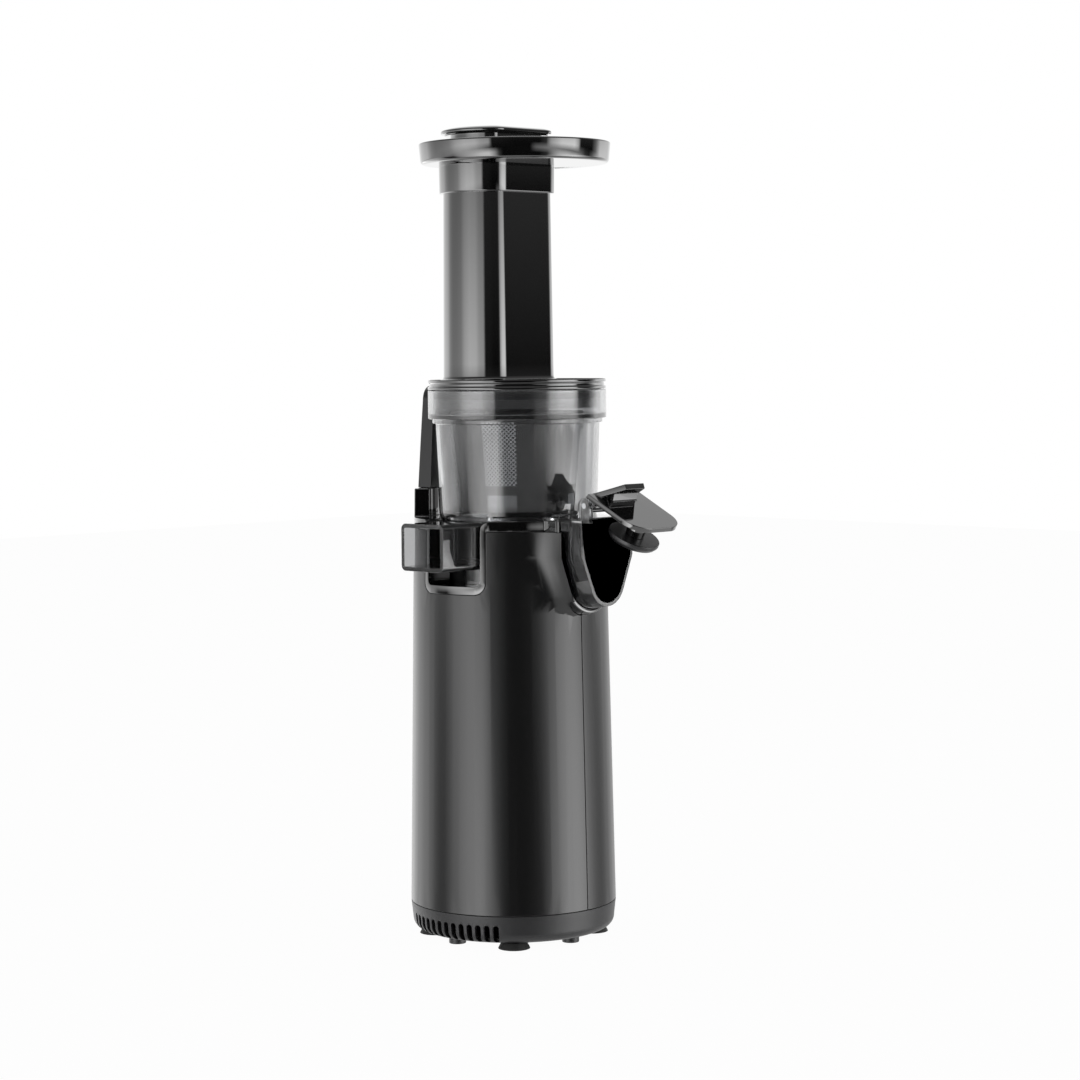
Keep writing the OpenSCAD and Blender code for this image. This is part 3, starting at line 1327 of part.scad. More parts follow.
left_shell();
right_shell();
bowl_seat();
lock_arm();
base_cap();
suction_feet();
bowl();
bowl_shaft_seal();
pulp_plug();
cap_hinge_pin();
spout_cap();
spout_cap_seal();
strainer_frame();
strainer_mesh();
auger();
auger_drive_insert();
lid_chute();
lid_seal();
lid_magnet();
hopper_tray();
pusher_body();
pusher_cap();
drive_shaft();
output_gear();
gear_b();
gear_a();
motor_pinion();
gear_arbors();
shaft_bushes();
gearbox_case();
gearbox_cover();
gearbox_dampers();
motor_can();
motor_end_bell();
motor_bearings();
motor_magnets();
motor_shaft();
motor_armature();
motor_commutator();
motor_brushes();
cooling_fan();
control_board();
lock_sensor();
switch_body();
switch_rocker();
cord_gland();
seat_screws();
base_screws();
gearbox_screws();
motor_screws();
drive_screws();
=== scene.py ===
import math

import bmesh
import bpy
from mathutils import Matrix, Vector


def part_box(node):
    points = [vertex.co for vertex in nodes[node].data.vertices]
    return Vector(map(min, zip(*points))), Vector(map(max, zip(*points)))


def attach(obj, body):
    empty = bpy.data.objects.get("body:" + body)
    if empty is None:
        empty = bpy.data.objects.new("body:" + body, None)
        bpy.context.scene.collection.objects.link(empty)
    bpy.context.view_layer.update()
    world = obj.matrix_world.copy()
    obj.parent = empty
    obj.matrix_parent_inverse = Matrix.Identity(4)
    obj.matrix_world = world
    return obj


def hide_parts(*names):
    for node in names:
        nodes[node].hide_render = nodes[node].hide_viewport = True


bl_info = {
    "name": "Slim Cold Press Juicer",
    "version": (1, 0, 0),
    "blender": (4, 5, 0),
    "location": "View3D > Sidebar > Juicer",
    "description": "Dresses the moulded, clear and metal pieces of an upright juicer",
    "category": "Object",
}

MM = 0.001
UP = Vector((0, 0, 1))

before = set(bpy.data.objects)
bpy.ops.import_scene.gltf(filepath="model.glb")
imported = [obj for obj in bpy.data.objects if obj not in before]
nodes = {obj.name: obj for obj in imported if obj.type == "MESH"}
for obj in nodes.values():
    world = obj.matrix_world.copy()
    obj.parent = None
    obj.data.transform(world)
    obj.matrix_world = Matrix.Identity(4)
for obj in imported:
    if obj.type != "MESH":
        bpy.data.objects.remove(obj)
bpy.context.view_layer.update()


def middle(node):
    """The middle of a CAD node's box."""
    low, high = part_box(node)
    return (low + high) / 2


# The upright axes of the housing and of the bowl, which stands nearer the front
HOUSING = middle("base_cap")
BOWL = middle("strainer_mesh")
BOWL_FOOT = Vector((BOWL.x, BOWL.y, 0))

# The strainer's windows: how many, the bearing of the first and half the width of each in degrees
WINDOWS, WINDOW_TURN, WINDOW_HALF = 4, 28, 17.5

# From the housing's axis to the open ends of the juice spout and of the pulp duct
SPOUT_REACH, DUCT_REACH = 71.5 * MM, 71 * MM


# Shader maths


class Sock:
    """A shader socket that can be used in sums; each operation adds a Math node."""

    def __init__(self, shader, socket):
        self.shader = shader
        self.socket = socket

    def math(self, operation, other=None, swap=False):
        pair = [self] if other is None else [other, self] if swap else [self, other]
        return self.shader.node("ShaderNodeMath", {"operation": operation}, dict(enumerate(pair)))

    def __add__(self, other):
        return self.math("ADD", other)

    def __radd__(self, other):
        return self.math("ADD", other, True)

    def __sub__(self, other):
        return self.math("SUBTRACT", other)

    def __rsub__(self, other):
        return self.math("SUBTRACT", other, True)

    def __mul__(self, other):
        return self.math("MULTIPLY", other)

    def __rmul__(self, other):
        return self.math("MULTIPLY", other, True)

    def __truediv__(self, other):
        return self.math("DIVIDE", other)


class Shader:
    """A material being built, with one method that adds any node."""

    def __init__(self, name):
        self.material = bpy.data.materials.new(name)
        self.material.use_nodes = True
        self.tree = self.material.node_tree
        self.tree.nodes.clear()
        self.out = self.tree.nodes.new("ShaderNodeOutputMaterial")
        self.coordinates = None

    def put(self, socket, value):
        if isinstance(value, Sock):
            self.tree.links.new(value.socket, socket)
        else:
            socket.default_value = value

    def node(self, kind, settings=None, inputs=None, output=0):
        made = self.tree.nodes.new(kind)
        for key, value in (settings or {}).items():
            if key == "stops":
                ramp = made.color_ramp
                while len(ramp.elements) < len(value):
                    ramp.elements.new(0.5)
                for element, (place, colour) in zip(ramp.elements, value):
                    element.position = place
                    element.color = colour
            else:
                setattr(made, key, value)
        for key, value in (inputs or {}).items():
            self.put(made.inputs[key], value)
        return Sock(self, made.outputs[output])

    def place(self):
        """The place on the surface, in metres of the shared frame."""
        if self.coordinates is None:
            self.coordinates = self.node("ShaderNodeTexCoord", output="Object")
        return self.coordinates

    def noise(self, scale, detail=2.0, roughness=0.5, vector=None):
        values = {"Vector": vector or self.place(), "Scale": scale, "Detail": detail, "Roughness": roughness}
        return self.node("ShaderNodeTexNoise", {}, values, "Fac")

    def part(self, vector, axis):
        """One of a vector's three values, by its letter."""
        return self.node("ShaderNodeSeparateXYZ", {}, {"Vector": vector}, axis)

    def stretched(self, factors):
        """The place, with its axes scaled for a pattern that isn't even."""
        return self.node("ShaderNodeMapping", {}, {"Vector": self.place(), "Scale": factors})

    def spread(self, value, low, high):
        """Maps a value from 0 to 1 between two others."""
        values = {"Value": value, "To Min": low, "To Max": high}
        return self.node("ShaderNodeMapRange", {}, values, "Result")

    def mix(self, factor, first, second):
        """A mix of two colours; the node has sockets of equal names, so they are counted."""
        return self.node("ShaderNodeMix", {"data_type": "RGBA"}, {0: factor, 6: first, 7: second}, 2)

    def bump(self, height, strength, distance=0.0002):
        values = {"Height": height, "Strength": strength, "Distance": distance}
        return self.node("ShaderNodeBump", {}, values, "Normal")

    def finish(self, inputs):
        surface = self.node("ShaderNodeBsdfPrincipled", {}, inputs, "BSDF")
        self.tree.links.new(surface.socket, self.out.inputs["Surface"])
        return self.material


def grey(value):
    return (value, value, value, 1)


def shade(colour, factor):
    """A colour made lighter or darker by a factor."""
    return [min(c * factor, 1) for c in colour[:3]] + [1]


def mix_shaders(tree, share, first, second, out):
    """Feeds an output's surface from two shader sockets."""
    either = tree.nodes.new("ShaderNodeMixShader")
    for source, socket in zip((share, first, second), either.inputs):
        tree.links.new(source, socket)
    tree.links.new(either.outputs[0], out.inputs["Surface"])


# Materials


def gloss_black(colour):
    s = Shader("gloss_black")
    haze = s.noise(70, 3)
    orange_peel = s.noise(420, 1)
    dust = s.noise(1800, 2)
    return s.finish({
        "Base Color": s.mix(haze, shade(colour, 0.8), shade(colour, 1.2)),
        "Roughness": s.spread(dust * haze, 0.02, 0.09),
        "IOR": 1.55,
        "Coat Weight": 1.0,
        "Coat Roughness": 0.02,
        "Coat IOR": 1.6,
        "Normal": s.bump(orange_peel, 0.04),
    })


def satin_graphite(colour, roughness):
    s = Shader("satin_graphite")
    grain = s.noise(2600, 3)
    cloud = s.noise(24, 3)
    return s.finish({
        "Base Color": s.mix(cloud, shade(colour, 0.9), shade(colour, 1.1)),
        "Roughness": s.spread(grain, roughness - 0.05, roughness + 0.05),
        "IOR": 1.55,
        "Normal": s.bump(grain, 0.12, 0.00006),
    })


def moulded(name, colour, roughness, grain_scale=1800, bump=0.1, variation=0.12, metallic=0.0):
    """A moulded or cast material with a fine grain and a faint unevenness of colour."""
    s = Shader(name)
    grain = s.noise(grain_scale, 3)
    cloud = s.noise(60, 2)
    return s.finish({
        "Base Color": s.mix(cloud, shade(colour, 1 - variation), shade(colour, 1 + variation)),
        "Roughness": s.spread(grain, max(roughness - 0.06, 0.02), roughness + 0.06),
        "Metallic": metallic,
        "Normal": s.bump(grain, bump, 0.0001),
    })


def machined(name, colour, roughness):
    """Turned or brushed metal, with fine lines round the piece."""
    s = Shader(name)
    lines = s.noise(1.0, 3, 0.6, s.stretched((40, 40, 2600)))
    blotch = s.noise(90, 2)
    return s.finish({
        "Base Color": s.mix(lines * blotch, shade(colour, 0.86), shade(colour, 1)),
        "Roughness": s.spread(lines, roughness - 0.07, roughness + 0.08),
        "Metallic": 1.0,
        "Normal": s.bump(lines, 0.08, 0.00005),
    })


def smoky_clear(colour):
    s = Shader("smoky_clear")
    flow = s.noise(9, 2, 0.4, s.stretched((1, 1, 0.3)))
    mist = s.noise(900, 2)
    return s.finish({
        "Base Color": s.mix(flow, shade(colour, 0.94), shade(colour, 1.06)),
        "Roughness": s.spread(mist, 0.015, 0.05),
        "IOR": 1.47,
        "Transmission Weight": 0.975,
        "Coat Weight": 0.6,
        "Coat Roughness": 0.02,
        "Normal": s.bump(flow, 0.03),
    })


def copper_winding():
    s = Shader("copper_winding")
    turns = s.node("ShaderNodeTexWave", {"bands_direction": "Z"},
                   {"Vector": s.place(), "Scale": 260.0, "Distortion": 0.4}, "Fac")
    return s.finish({
        "Base Color": s.mix(turns, (0.28, 0.09, 0.03, 1), (0.62, 0.26, 0.1, 1)),
        "Roughness": s.spread(turns, 0.5, 0.24),
        "Metallic": 0.9,
        "Coat Weight": 0.5,
        "Normal": s.bump(turns, 0.5, 0.0003),
    })


def board_green():
    s = Shader("board_green")
    cells = s.node("ShaderNodeTexBrick", {"offset": 0.3}, {
        "Vector": s.node("ShaderNodeMapping", {}, {"Vector": s.place(), "Rotation": (0, math.pi / 2, 0)}),
        "Scale": 160.0, "Mortar Size": 0.06,
        "Color1": (0.012, 0.09, 0.03, 1), "Color2": (0.016, 0.12, 0.04, 1), "Mortar": (0.04, 0.2, 0.07, 1),
    }, "Color")
    return s.finish({"Base Color": cells, "Roughness": s.spread(s.noise(500), 0.3, 0.45), "Coat Weight": 0.4})


def make_materials(chosen):
    """Every finish by its name; the ones that the user may recolour come from the settings."""
    return {
        "satin_graphite": satin_graphite(chosen.satin_colour, chosen.satin_roughness),
        "gloss_black": gloss_black(chosen.gloss_colour),
        "smoky_clear": smoky_clear(chosen.smoke_colour),
        "copper_winding": copper_winding(),
        "board_green": board_green(),
        "matte_black": moulded("matte_black", (0.012, 0.012, 0.013), 0.45, 2200, 0.2),
        "rocker_black": moulded("rocker_black", (0.02, 0.02, 0.021), 0.32, 1500, 0.08),
        "black_rubber": moulded("black_rubber", (0.011, 0.011, 0.011), 0.62, 1400, 0.25),
        "grey_silicone": moulded("grey_silicone", (0.07, 0.07, 0.073), 0.5, 1200, 0.12),
        "dark_resin": moulded("dark_resin", (0.009, 0.009, 0.01), 0.34, 900, 0.12),
        "cast_alloy": moulded("cast_alloy", (0.42, 0.43, 0.45), 0.42, 700, 0.3, 0.1, 1.0),
        "gear_nylon": moulded("gear_nylon", (0.62, 0.58, 0.46), 0.4, 1100, 0.08),
        "magnet_grey": moulded("magnet_grey", (0.07, 0.07, 0.075), 0.5, 1300, 0.25, 0.2, 0.3),
        "sensor_ivory": moulded("sensor_ivory", (0.72, 0.69, 0.6), 0.4, 1300, 0.08),
        "steel_mesh": machined("steel_mesh", (0.78, 0.79, 0.81), 0.24),
        "bright_steel": machined("bright_steel", (0.66, 0.67, 0.69), 0.22),
        "gear_brass": machined("gear_brass", (0.62, 0.45, 0.2), 0.3),
        "motor_steel": machined("motor_steel", (0.45, 0.46, 0.48), 0.34),
    }


MATERIALS = {}


def dress(obj, finish):
    obj.data.materials.clear()
    obj.data.materials.append(MATERIALS[finish])


# Mesh helpers


def linked(name, data):
    """Adds an object to the scene."""
    obj = bpy.data.objects.new(name, data)
    bpy.context.scene.collection.objects.link(obj)
    return obj


def linked_mesh(name, bm):
    """Adds an object made of a bmesh, which is freed."""
    mesh = bpy.data.meshes.new(name)
    bm.to_mesh(mesh)
    bm.free()
    return linked(name, mesh)


def piece(name, bm, finish, body, replaced, angle=32):
    """Makes an object of a bmesh, smooth except at sharp edges, riding on its body."""
    obj = linked_mesh(name, bm)
    for polygon in obj.data.polygons:
        polygon.use_smooth = True
    obj.data.set_sharp_from_angle(angle=math.radians(angle))
    dress(obj, finish)
    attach(obj, body)
    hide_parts(*replaced)
    return obj


def even_normals(obj):
    """Keeps wide faces flat beside their small roundings."""
    obj.modifiers.new("Even normals", "WEIGHTED_NORMAL").keep_sharp = True


def clean_copy(node):
    """A merged copy of a CAD node's mesh with its flat faces joined."""
    bm = bmesh.new()
    bm.from_mesh(nodes[node].data)
    bmesh.ops.remove_doubles(bm, verts=bm.verts, dist=0.004 * MM)
    bmesh.ops.dissolve_limit(bm, angle_limit=math.radians(0.4), verts=bm.verts, edges=bm.edges)
    return bm


def sharp_edges(bm, angle):
    """The edges whose two faces meet at more than an angle in degrees."""
    return [e for e in bm.edges if len(e.link_faces) == 2 and e.calc_face_angle(0) > math.radians(angle)]


def rounded(bm, edges, radius, segments, **settings):
    """Rounds the given edges."""
    bmesh.ops.bevel(bm, geom=edges, offset=radius, offset_type="OFFSET", segments=segments, profile=0.5,
                    affect="EDGES", material=-1, **settings)


def soften(bm, width, angle):
    """Gives every edge that is sharper than an angle a small rounding."""
    rounded(bm, sharp_edges(bm, angle), width, 2, clamp_overlap=False, miter_outer="ARC")


def softened(node, name, finish, body, width, angle=28):
    """Makes a piece of a CAD node, with its sharp edges rounded."""
    bm = clean_copy(node)
    soften(bm, width, angle)
    even_normals(piece(name, bm, finish, body, (node,)))


def curved(points):
    """A profile whose corners are arcs; each point is (radius, height, rounding)."""
    steps = 5
    done = []
    count = len(points)
    for i, (x, z, r) in enumerate(points):
        here = Vector((x, z))
        if not r or i in (0, count - 1):
            done.append(here)
            continue
        back = Vector(points[i - 1][:2]) - here
        ahead = Vector(points[i + 1][:2]) - here
        half = back.angle(ahead) / 2
        reach = min(r / math.tan(half), 0.49 * back.length, 0.49 * ahead.length)
        start = here + back.normalized() * reach
        end = here + ahead.normalized() * reach
        for k in range(steps + 1):
            t = k / steps
            done.append((1 - t) ** 2 * start + 2 * t * (1 - t) * here + t * t * end)
    return done


# The D-shaped chute, which the tray's collar and the pusher follow

CHUTE = HOUSING + Vector((0, 7.2 * MM, 0))
CHUTE_R, CHUTE_FLAT, CHUTE_CORNER = 29.3 * MM, 21.6 * MM, 9 * MM
ARC_POINTS, CORNER_POINTS, FLAT_POINTS = 150, 10, 48


def d_outline(grow):
    """The chute's outline grown by an amount, as points in order round its middle."""
    across = math.sqrt((CHUTE_R - CHUTE_CORNER) ** 2 - (CHUTE_FLAT - CHUTE_CORNER) ** 2)
    back = -(CHUTE_FLAT - CHUTE_CORNER)
    r, corner = CHUTE_R + grow, CHUTE_CORNER + grow
    tangent = math.atan2(back, across)
    points = []
    for k in range(ARC_POINTS):
        a = tangent + (math.pi - 2 * tangent) * k / ARC_POINTS
        points.append((r * math.cos(a), r * math.sin(a)))
    for side in (-1, 1):
        for k in range(CORNER_POINTS):
            share = k / CORNER_POINTS if side < 0 else 1 - k / CORNER_POINTS
            a = tangent + (-math.pi / 2 - tangent) * share
            points.append((side * (across + corner * math.cos(a)), back + corner * math.sin(a)))
        if side < 0:
            for k in range(FLAT_POINTS):
                points.append((-across + 2 * across * k / FLAT_POINTS, back - corner))
    return points


BEARINGS = [math.atan2(y, x) for x, y in d_outline(0)]


def d_ring(grow, z):
    return [Vector((CHUTE.x + x, CHUTE.y + y, z)) for x, y in d_outline(grow)]


def round_ring(radius, z):
    """A circle round the bowl's axis whose points face those of the D outline."""
    return [Vector((BOWL.x + radius * math.cos(a), BOWL.y + radius * math.sin(a), z)) for a in BEARINGS]


def loft(rings, closed=True):
    """Joins rings of equally many points; an open loft has its two ends filled."""
    bm = bmesh.new()
    loops = []
    for ring in rings:
        corners = [bm.verts.new(p) for p in ring]
        loops.append([bm.edges.new(pair) for pair in zip(corners, corners[1:] + corners[:1])])
    pairs = list(zip(loops, loops[1:]))
    if closed:
        pairs.append((loops[-1], loops[0]))
    for first, second in pairs:
        bmesh.ops.bridge_loops(bm, edges=first + second)
    if not closed:
        for loop in (loops[0], loops[-1]):
            bmesh.ops.contextual_create(bm, geom=loop)
    bmesh.ops.recalc_face_normals(bm, faces=bm.faces)
    return bm


def chain(kind, points):
    """Rings along a profile in millimetres; each point is (growth or radius, height, rounding)."""
    profile = curved([(a * MM, z * MM, r * MM) for a, z, r in points])
    return [kind(p.x, p.y) for p in profile]


def add_arc(bm, axis, corners, half_angle):
    """Adds a block bent round an axis behind the bowl, from its section's corners."""
    section = [bm.verts.new(axis + Vector((0, y * MM, z * MM))) for y, z in corners]
    face = bm.faces.new(section)
    bmesh.ops.rotate(bm, verts=section, cent=axis, matrix=Matrix.Rotation(-half_angle, 3, "Z"))
    bmesh.ops.spin(bm, geom=[face], cent=axis, axis=UP, angle=2 * half_angle, steps=10)
    bmesh.ops.recalc_face_normals(bm, faces=bm.faces)


def add_box(bm, low, high):
    """Adds an upright box between two corners in millimetres from the bowl's axis."""
    cube = bmesh.ops.create_cube(bm, size=1)["verts"]
    low, high = Vector(low) * MM, Vector(high) * MM
    bmesh.ops.scale(bm, vec=high - low, verts=cube)
    bmesh.ops.translate(bm, vec=(low + high) / 2 + BOWL_FOOT, verts=cube)


# Pieces that the user may resize or recolour


class JuicerLook(bpy.types.PropertyGroup):
    """Finishes of the juicer."""

    gloss_colour: bpy.props.FloatVectorProperty(
        name="Gloss black", description="Colour of the glossy mouldings", subtype="COLOR",
        size=4, default=(0.006, 0.006, 0.006, 1))
    satin_colour: bpy.props.FloatVectorProperty(
        name="Satin graphite", description="Colour of the housing", subtype="COLOR",
        size=4, default=(0.0045, 0.0045, 0.0048, 1))
    satin_roughness: bpy.props.FloatProperty(
        name="Satin roughness", description="Mean roughness of the housing", default=0.3, min=0.1, max=0.8)
    smoke_colour: bpy.props.FloatVectorProperty(
        name="Smoky clear", description="Colour of the bowl", subtype="COLOR",
        size=4, default=(0.52, 0.524, 0.53, 1))


class JuicerSizes(bpy.types.PropertyGroup):
    """Small sizes of the juicer's finish."""

    edge: bpy.props.FloatProperty(
        name="Moulded edge", description="Radius on the edges of the mouldings",
        subtype="DISTANCE", unit="LENGTH", default=0.35 * MM, min=0.05 * MM, max=1.5 * MM)
    hole: bpy.props.FloatProperty(
        name="Strainer hole", description="Width of a hole in the strainer",
        subtype="DISTANCE", unit="LENGTH", default=1.15 * MM, min=0.3 * MM, max=3 * MM)
    hole_pitch: bpy.props.FloatProperty(
        name="Hole pitch", description="Distance between holes along a row of the strainer",
        subtype="DISTANCE", unit="LENGTH", default=2.15 * MM, min=1 * MM, max=6 * MM)
    fine_hole: bpy.props.FloatProperty(
        name="Fine strainer hole", description="Width of a hole in the strainer's lower band",
        subtype="DISTANCE", unit="LENGTH", default=0.9 * MM, min=0.3 * MM, max=2 * MM)
    fine_pitch: bpy.props.FloatProperty(
        name="Fine hole pitch", description="Distance between holes along a row of the lower band",
        subtype="DISTANCE", unit="LENGTH", default=1.65 * MM, min=0.6 * MM, max=4 * MM)


class JuicerStudio(bpy.types.PropertyGroup):
    """Camera and studio."""

    distance: bpy.props.FloatProperty(
        name="Camera distance", description="From the housing's axis to the camera",
        subtype="DISTANCE", unit="LENGTH", default=1.5, min=0.5, max=5)
    height: bpy.props.FloatProperty(
        name="Camera height", description="Height of the camera above the table",
        subtype="DISTANCE", unit="LENGTH", default=0.3087, min=0.05, max=2)
    bearing: bpy.props.FloatProperty(
        name="Camera bearing", description="Direction of the camera round the juicer, from its front",
        subtype="ANGLE", default=math.radians(-45), min=-math.pi, max=math.pi)
    key_strength: bpy.props.FloatProperty(
        name="Soft box", description="Radiance of the two soft boxes", default=2.6, min=0.1, max=20)


def look():
    return bpy.context.scene.juicer_look


def sizes():
    return bpy.context.scene.juicer_sizes


def studio():
    return bpy.context.scene.juicer_studio


# Studio

RING_RADIUS, RING_LOW, RING_HIGH = 2.3, -1.2, 3.2
BOX_WIDTH, BOX_HEIGHT, BOX_DISTANCE, BOX_CENTRE = 1.35, 2.4, 1.9, 0.75
BOX_TURN = 58
TABLE_HALF = 3.0
SKY_FILL = 0.42
TABLE_WHITE_SHARE = 0.97

# Radiance of the screen round the juicer at four heights in metres, by bearing in degrees: 0 is
# behind the camera, and right is positive
SCREENS = (
    (-0.03, (
        (-180, 1.0), (-170, 1.0), (-162, 1.9), (-130, 1.75), (-111, 1.7), (-102, 1.2), (-94, 0.15),
        (-80, 0.05), (-73, 1.3), (-64, 2.4), (-50, 3.6), (-40, 4.6), (-31, 4.8), (-24, 2.4), (-19, 0.3),
        (-14, 0.0), (30, 0.0), (40, 0.2), (47, 1.9), (56, 4.0), (66, 5.2), (80, 5.2), (90, 3.4),
        (98, 1.6), (108, 0.6), (120, 0.4), (130, 0.9), (180, 1.2),
    )),
    (0.13, (
        (-180, 1.0), (-150, 1.0), (-129, 0.7), (-110, 1.1), (-95, 1.05), (-81, 1.5), (-69, 2.5),
        (-58, 2.8), (-47, 2.3), (-38, 1.5), (-30, 0.4), (-26, 0.0), (19, 0.0), (25, 0.9), (31, 1.2),
        (41, 1.6), (51, 1.75), (62, 1.45), (74, 1.0), (86, 0.9), (94, 0.2), (101, 0.1), (108, 0.8),
        (117, 2.4), (130, 1.0), (180, 1.0),
    )),
    (0.29, (
        (-180, 1.0), (-150, 1.1), (-130, 1.5), (-118, 1.0), (-109, 0.9), (-96, 1.15), (-84, 1.6),
        (-74, 3.0), (-62, 3.9), (-48, 3.9), (-40, 2.9), (-31, 2.6), (-27, 0.04), (0, 0.0), (30, 0.0),
        (38, 0.2), (44, 3.0), (58, 5.4), (76, 5.4), (82, 3.0), (85, 0.03), (106, 0.0), (114, 0.6),
        (124, 2.2), (150, 1.1), (180, 1.0),
    )),
    (1.1, (
        (-180, 0.9), (-150, 0.7), (-120, 0.3), (-30, 0.15), (30, 0.15), (120, 0.3), (150, 0.6), (180, 0.9),
    )),
)


def toward(bearing, distance, height):
    """A place round the housing's axis; bearing 0 is in front, and it grows to the right."""
    right, ahead = distance * math.sin(bearing), distance * math.cos(bearing)
    return Vector((HOUSING.x + right, HOUSING.y - ahead, height))


def facing(place, target):
    return (target - place).to_track_quat("-Z", "Y")


def studio_ring(camera_bearing):
    """A round screen that only reflections and clear pieces show: soft boxes, black flags, white walls."""
    bm = bmesh.new()
    foot = toward(0, RING_RADIUS, RING_LOW)
    pair = [bm.verts.new(foot), bm.verts.new(foot + UP * (RING_HIGH - RING_LOW))]
    edge = bm.edges.new(pair)
    bmesh.ops.spin(bm, geom=pair + [edge], cent=(HOUSING.x, HOUSING.y, 0), axis=UP,
                   angle=math.tau, steps=96, use_merge=True)
    obj = linked_mesh("studio_ring", bm)
    obj.data.materials.append(screen_material(camera_bearing))
    obj.visible_camera = False
    obj.visible_diffuse = False
    obj.visible_volume_scatter = False
    obj.visible_shadow = False


def screen_material(camera_bearing):
    """Radiance by the bearing from the camera, which is what an upright gloss wall mirrors."""
    s = Shader("studio_ring")
    axis = (HOUSING.x, HOUSING.y, 0)
    centred = s.node("ShaderNodeVectorMath", {"operation": "SUBTRACT"}, {0: s.place(), 1: axis})
    x, y = s.part(centred, "X"), s.part(centred, "Y")
    across = x * math.cos(camera_bearing) + y * math.sin(camera_bearing)
    along = x * math.sin(camera_bearing) - y * math.cos(camera_bearing)
    turn = across.math("ARCTAN2", along) / math.tau + 0.5
    height = s.part(s.place(), "Z")
    peak = max(radiance for level, stops in SCREENS for bearing, radiance in stops)
    shown = below = None
    for level, stops in SCREENS:
        places = [((bearing + 180) / 360, grey(radiance / peak)) for bearing, radiance in stops]
        ramp = s.node("ShaderNodeValToRGB", {"stops": places}, {"Fac": turn}, "Color")
        if shown is None:
            shown = ramp
        else:
            span = {"Value": height, "From Min": below, "From Max": level}
            shown = s.mix(s.node("ShaderNodeMapRange", {}, span, "Result"), shown, ramp)
        below = level
    glow = s.node("ShaderNodeEmission", {}, {"Color": shown, "Strength": peak}, "Emission")
    s.tree.links.new(glow.socket, s.out.inputs["Surface"])
    return s.material


def soft_box(name, bearing, radiance):
    """A lamp of a given radiance that faces the juicer and isn't mirrored in it."""
    lamp = bpy.data.lights.new(name, "AREA")
    lamp.shape = "RECTANGLE"
    lamp.size = BOX_WIDTH
    lamp.size_y = BOX_HEIGHT
    lamp.energy = radiance * BOX_WIDTH * BOX_HEIGHT * math.pi
    obj = linked(name, lamp)
    obj.location = toward(bearing, BOX_DISTANCE, BOX_CENTRE)
    obj.rotation_euler = facing(obj.location, toward(0, 0, BOX_CENTRE)).to_euler()
    obj.visible_glossy = False


def backdrop_ray(tree):
    """1 for the rays that should see the plain white backdrop."""
    path = tree.nodes.new("ShaderNodeLightPath")
    total = path.outputs["Is Camera Ray"]
    for name in ("Is Glossy Ray", "Is Transmission Ray"):
        larger = tree.nodes.new("ShaderNodeMath")
        larger.operation = "MAXIMUM"
        tree.links.new(total, larger.inputs[0])
        tree.links.new(path.outputs[name], larger.inputs[1])
        total = larger.outputs[0]
    return total


class JUICER_OT_stage(bpy.types.Operator):
    """Adds the floor, the soft boxes, the screen round the juicer and the camera"""

    bl_idname = "juicer.stage"
    bl_label = "Studio"

    def execute(self, context):
        self.sky(context)
        self.floor()
        self.lights()
        self.camera(context)
        return {"FINISHED"}

    def sky(self, context):
        world = bpy.data.worlds.new("Studio")
        world.use_nodes = True
        tree = world.node_tree
        tree.nodes.clear()
        fill, shown = [tree.nodes.new("ShaderNodeBackground") for _ in range(2)]
        fill.inputs["Color"].default_value = grey(SKY_FILL)
        shown.inputs["Color"].default_value = grey(1.0)
        out = tree.nodes.new("ShaderNodeOutputWorld")
        mix_shaders(tree, backdrop_ray(tree), fill.outputs[0], shown.outputs[0], out)
        context.scene.world = world

    def floor(self):
        bm = bmesh.new()
        bmesh.ops.create_grid(bm, x_segments=8, y_segments=8, size=TABLE_HALF)
        bmesh.ops.translate(bm, vec=(HOUSING.x, HOUSING.y, 0), verts=bm.verts)
        obj = linked_mesh("table", bm)
        s = Shader("table")
        pale = s.node("ShaderNodeBsdfDiffuse", {}, {"Color": grey(0.9)}, "BSDF")
        white = s.node("ShaderNodeEmission", {}, {"Color": grey(1.0), "Strength": 1.0}, "Emission")
        share = Sock(s, backdrop_ray(s.tree)) * TABLE_WHITE_SHARE
        mix_shaders(s.tree, share.socket, pale.socket, white.socket, s.out)
        obj.data.materials.append(s.material)
        obj.visible_glossy = False

    def lights(self):
        view = studio().bearing
        radiance = studio().key_strength / math.pi
        soft_box("soft_box_left", view - math.radians(BOX_TURN), radiance)
        soft_box("soft_box_right", view + math.radians(BOX_TURN), radiance)
        studio_ring(view)

    def camera(self, context):
        data = bpy.data.cameras.new("Camera")
        data.lens = 93.2
        data.sensor_width = 36
        data.shift_x = 0.0296
        data.shift_y = -0.1704
        obj = linked("Camera", data)
        roll = math.radians(-0.6)
        place = toward(studio().bearing, studio().distance, studio().height)
        turn = facing(place, toward(0, 0, studio().height)).to_matrix() @ Matrix.Rotation(roll, 3, "Z")
        obj.location = place
        obj.rotation_euler = turn.to_euler()
        context.scene.camera = obj
        context.scene.view_settings.view_transform = "Standard"


# Inside

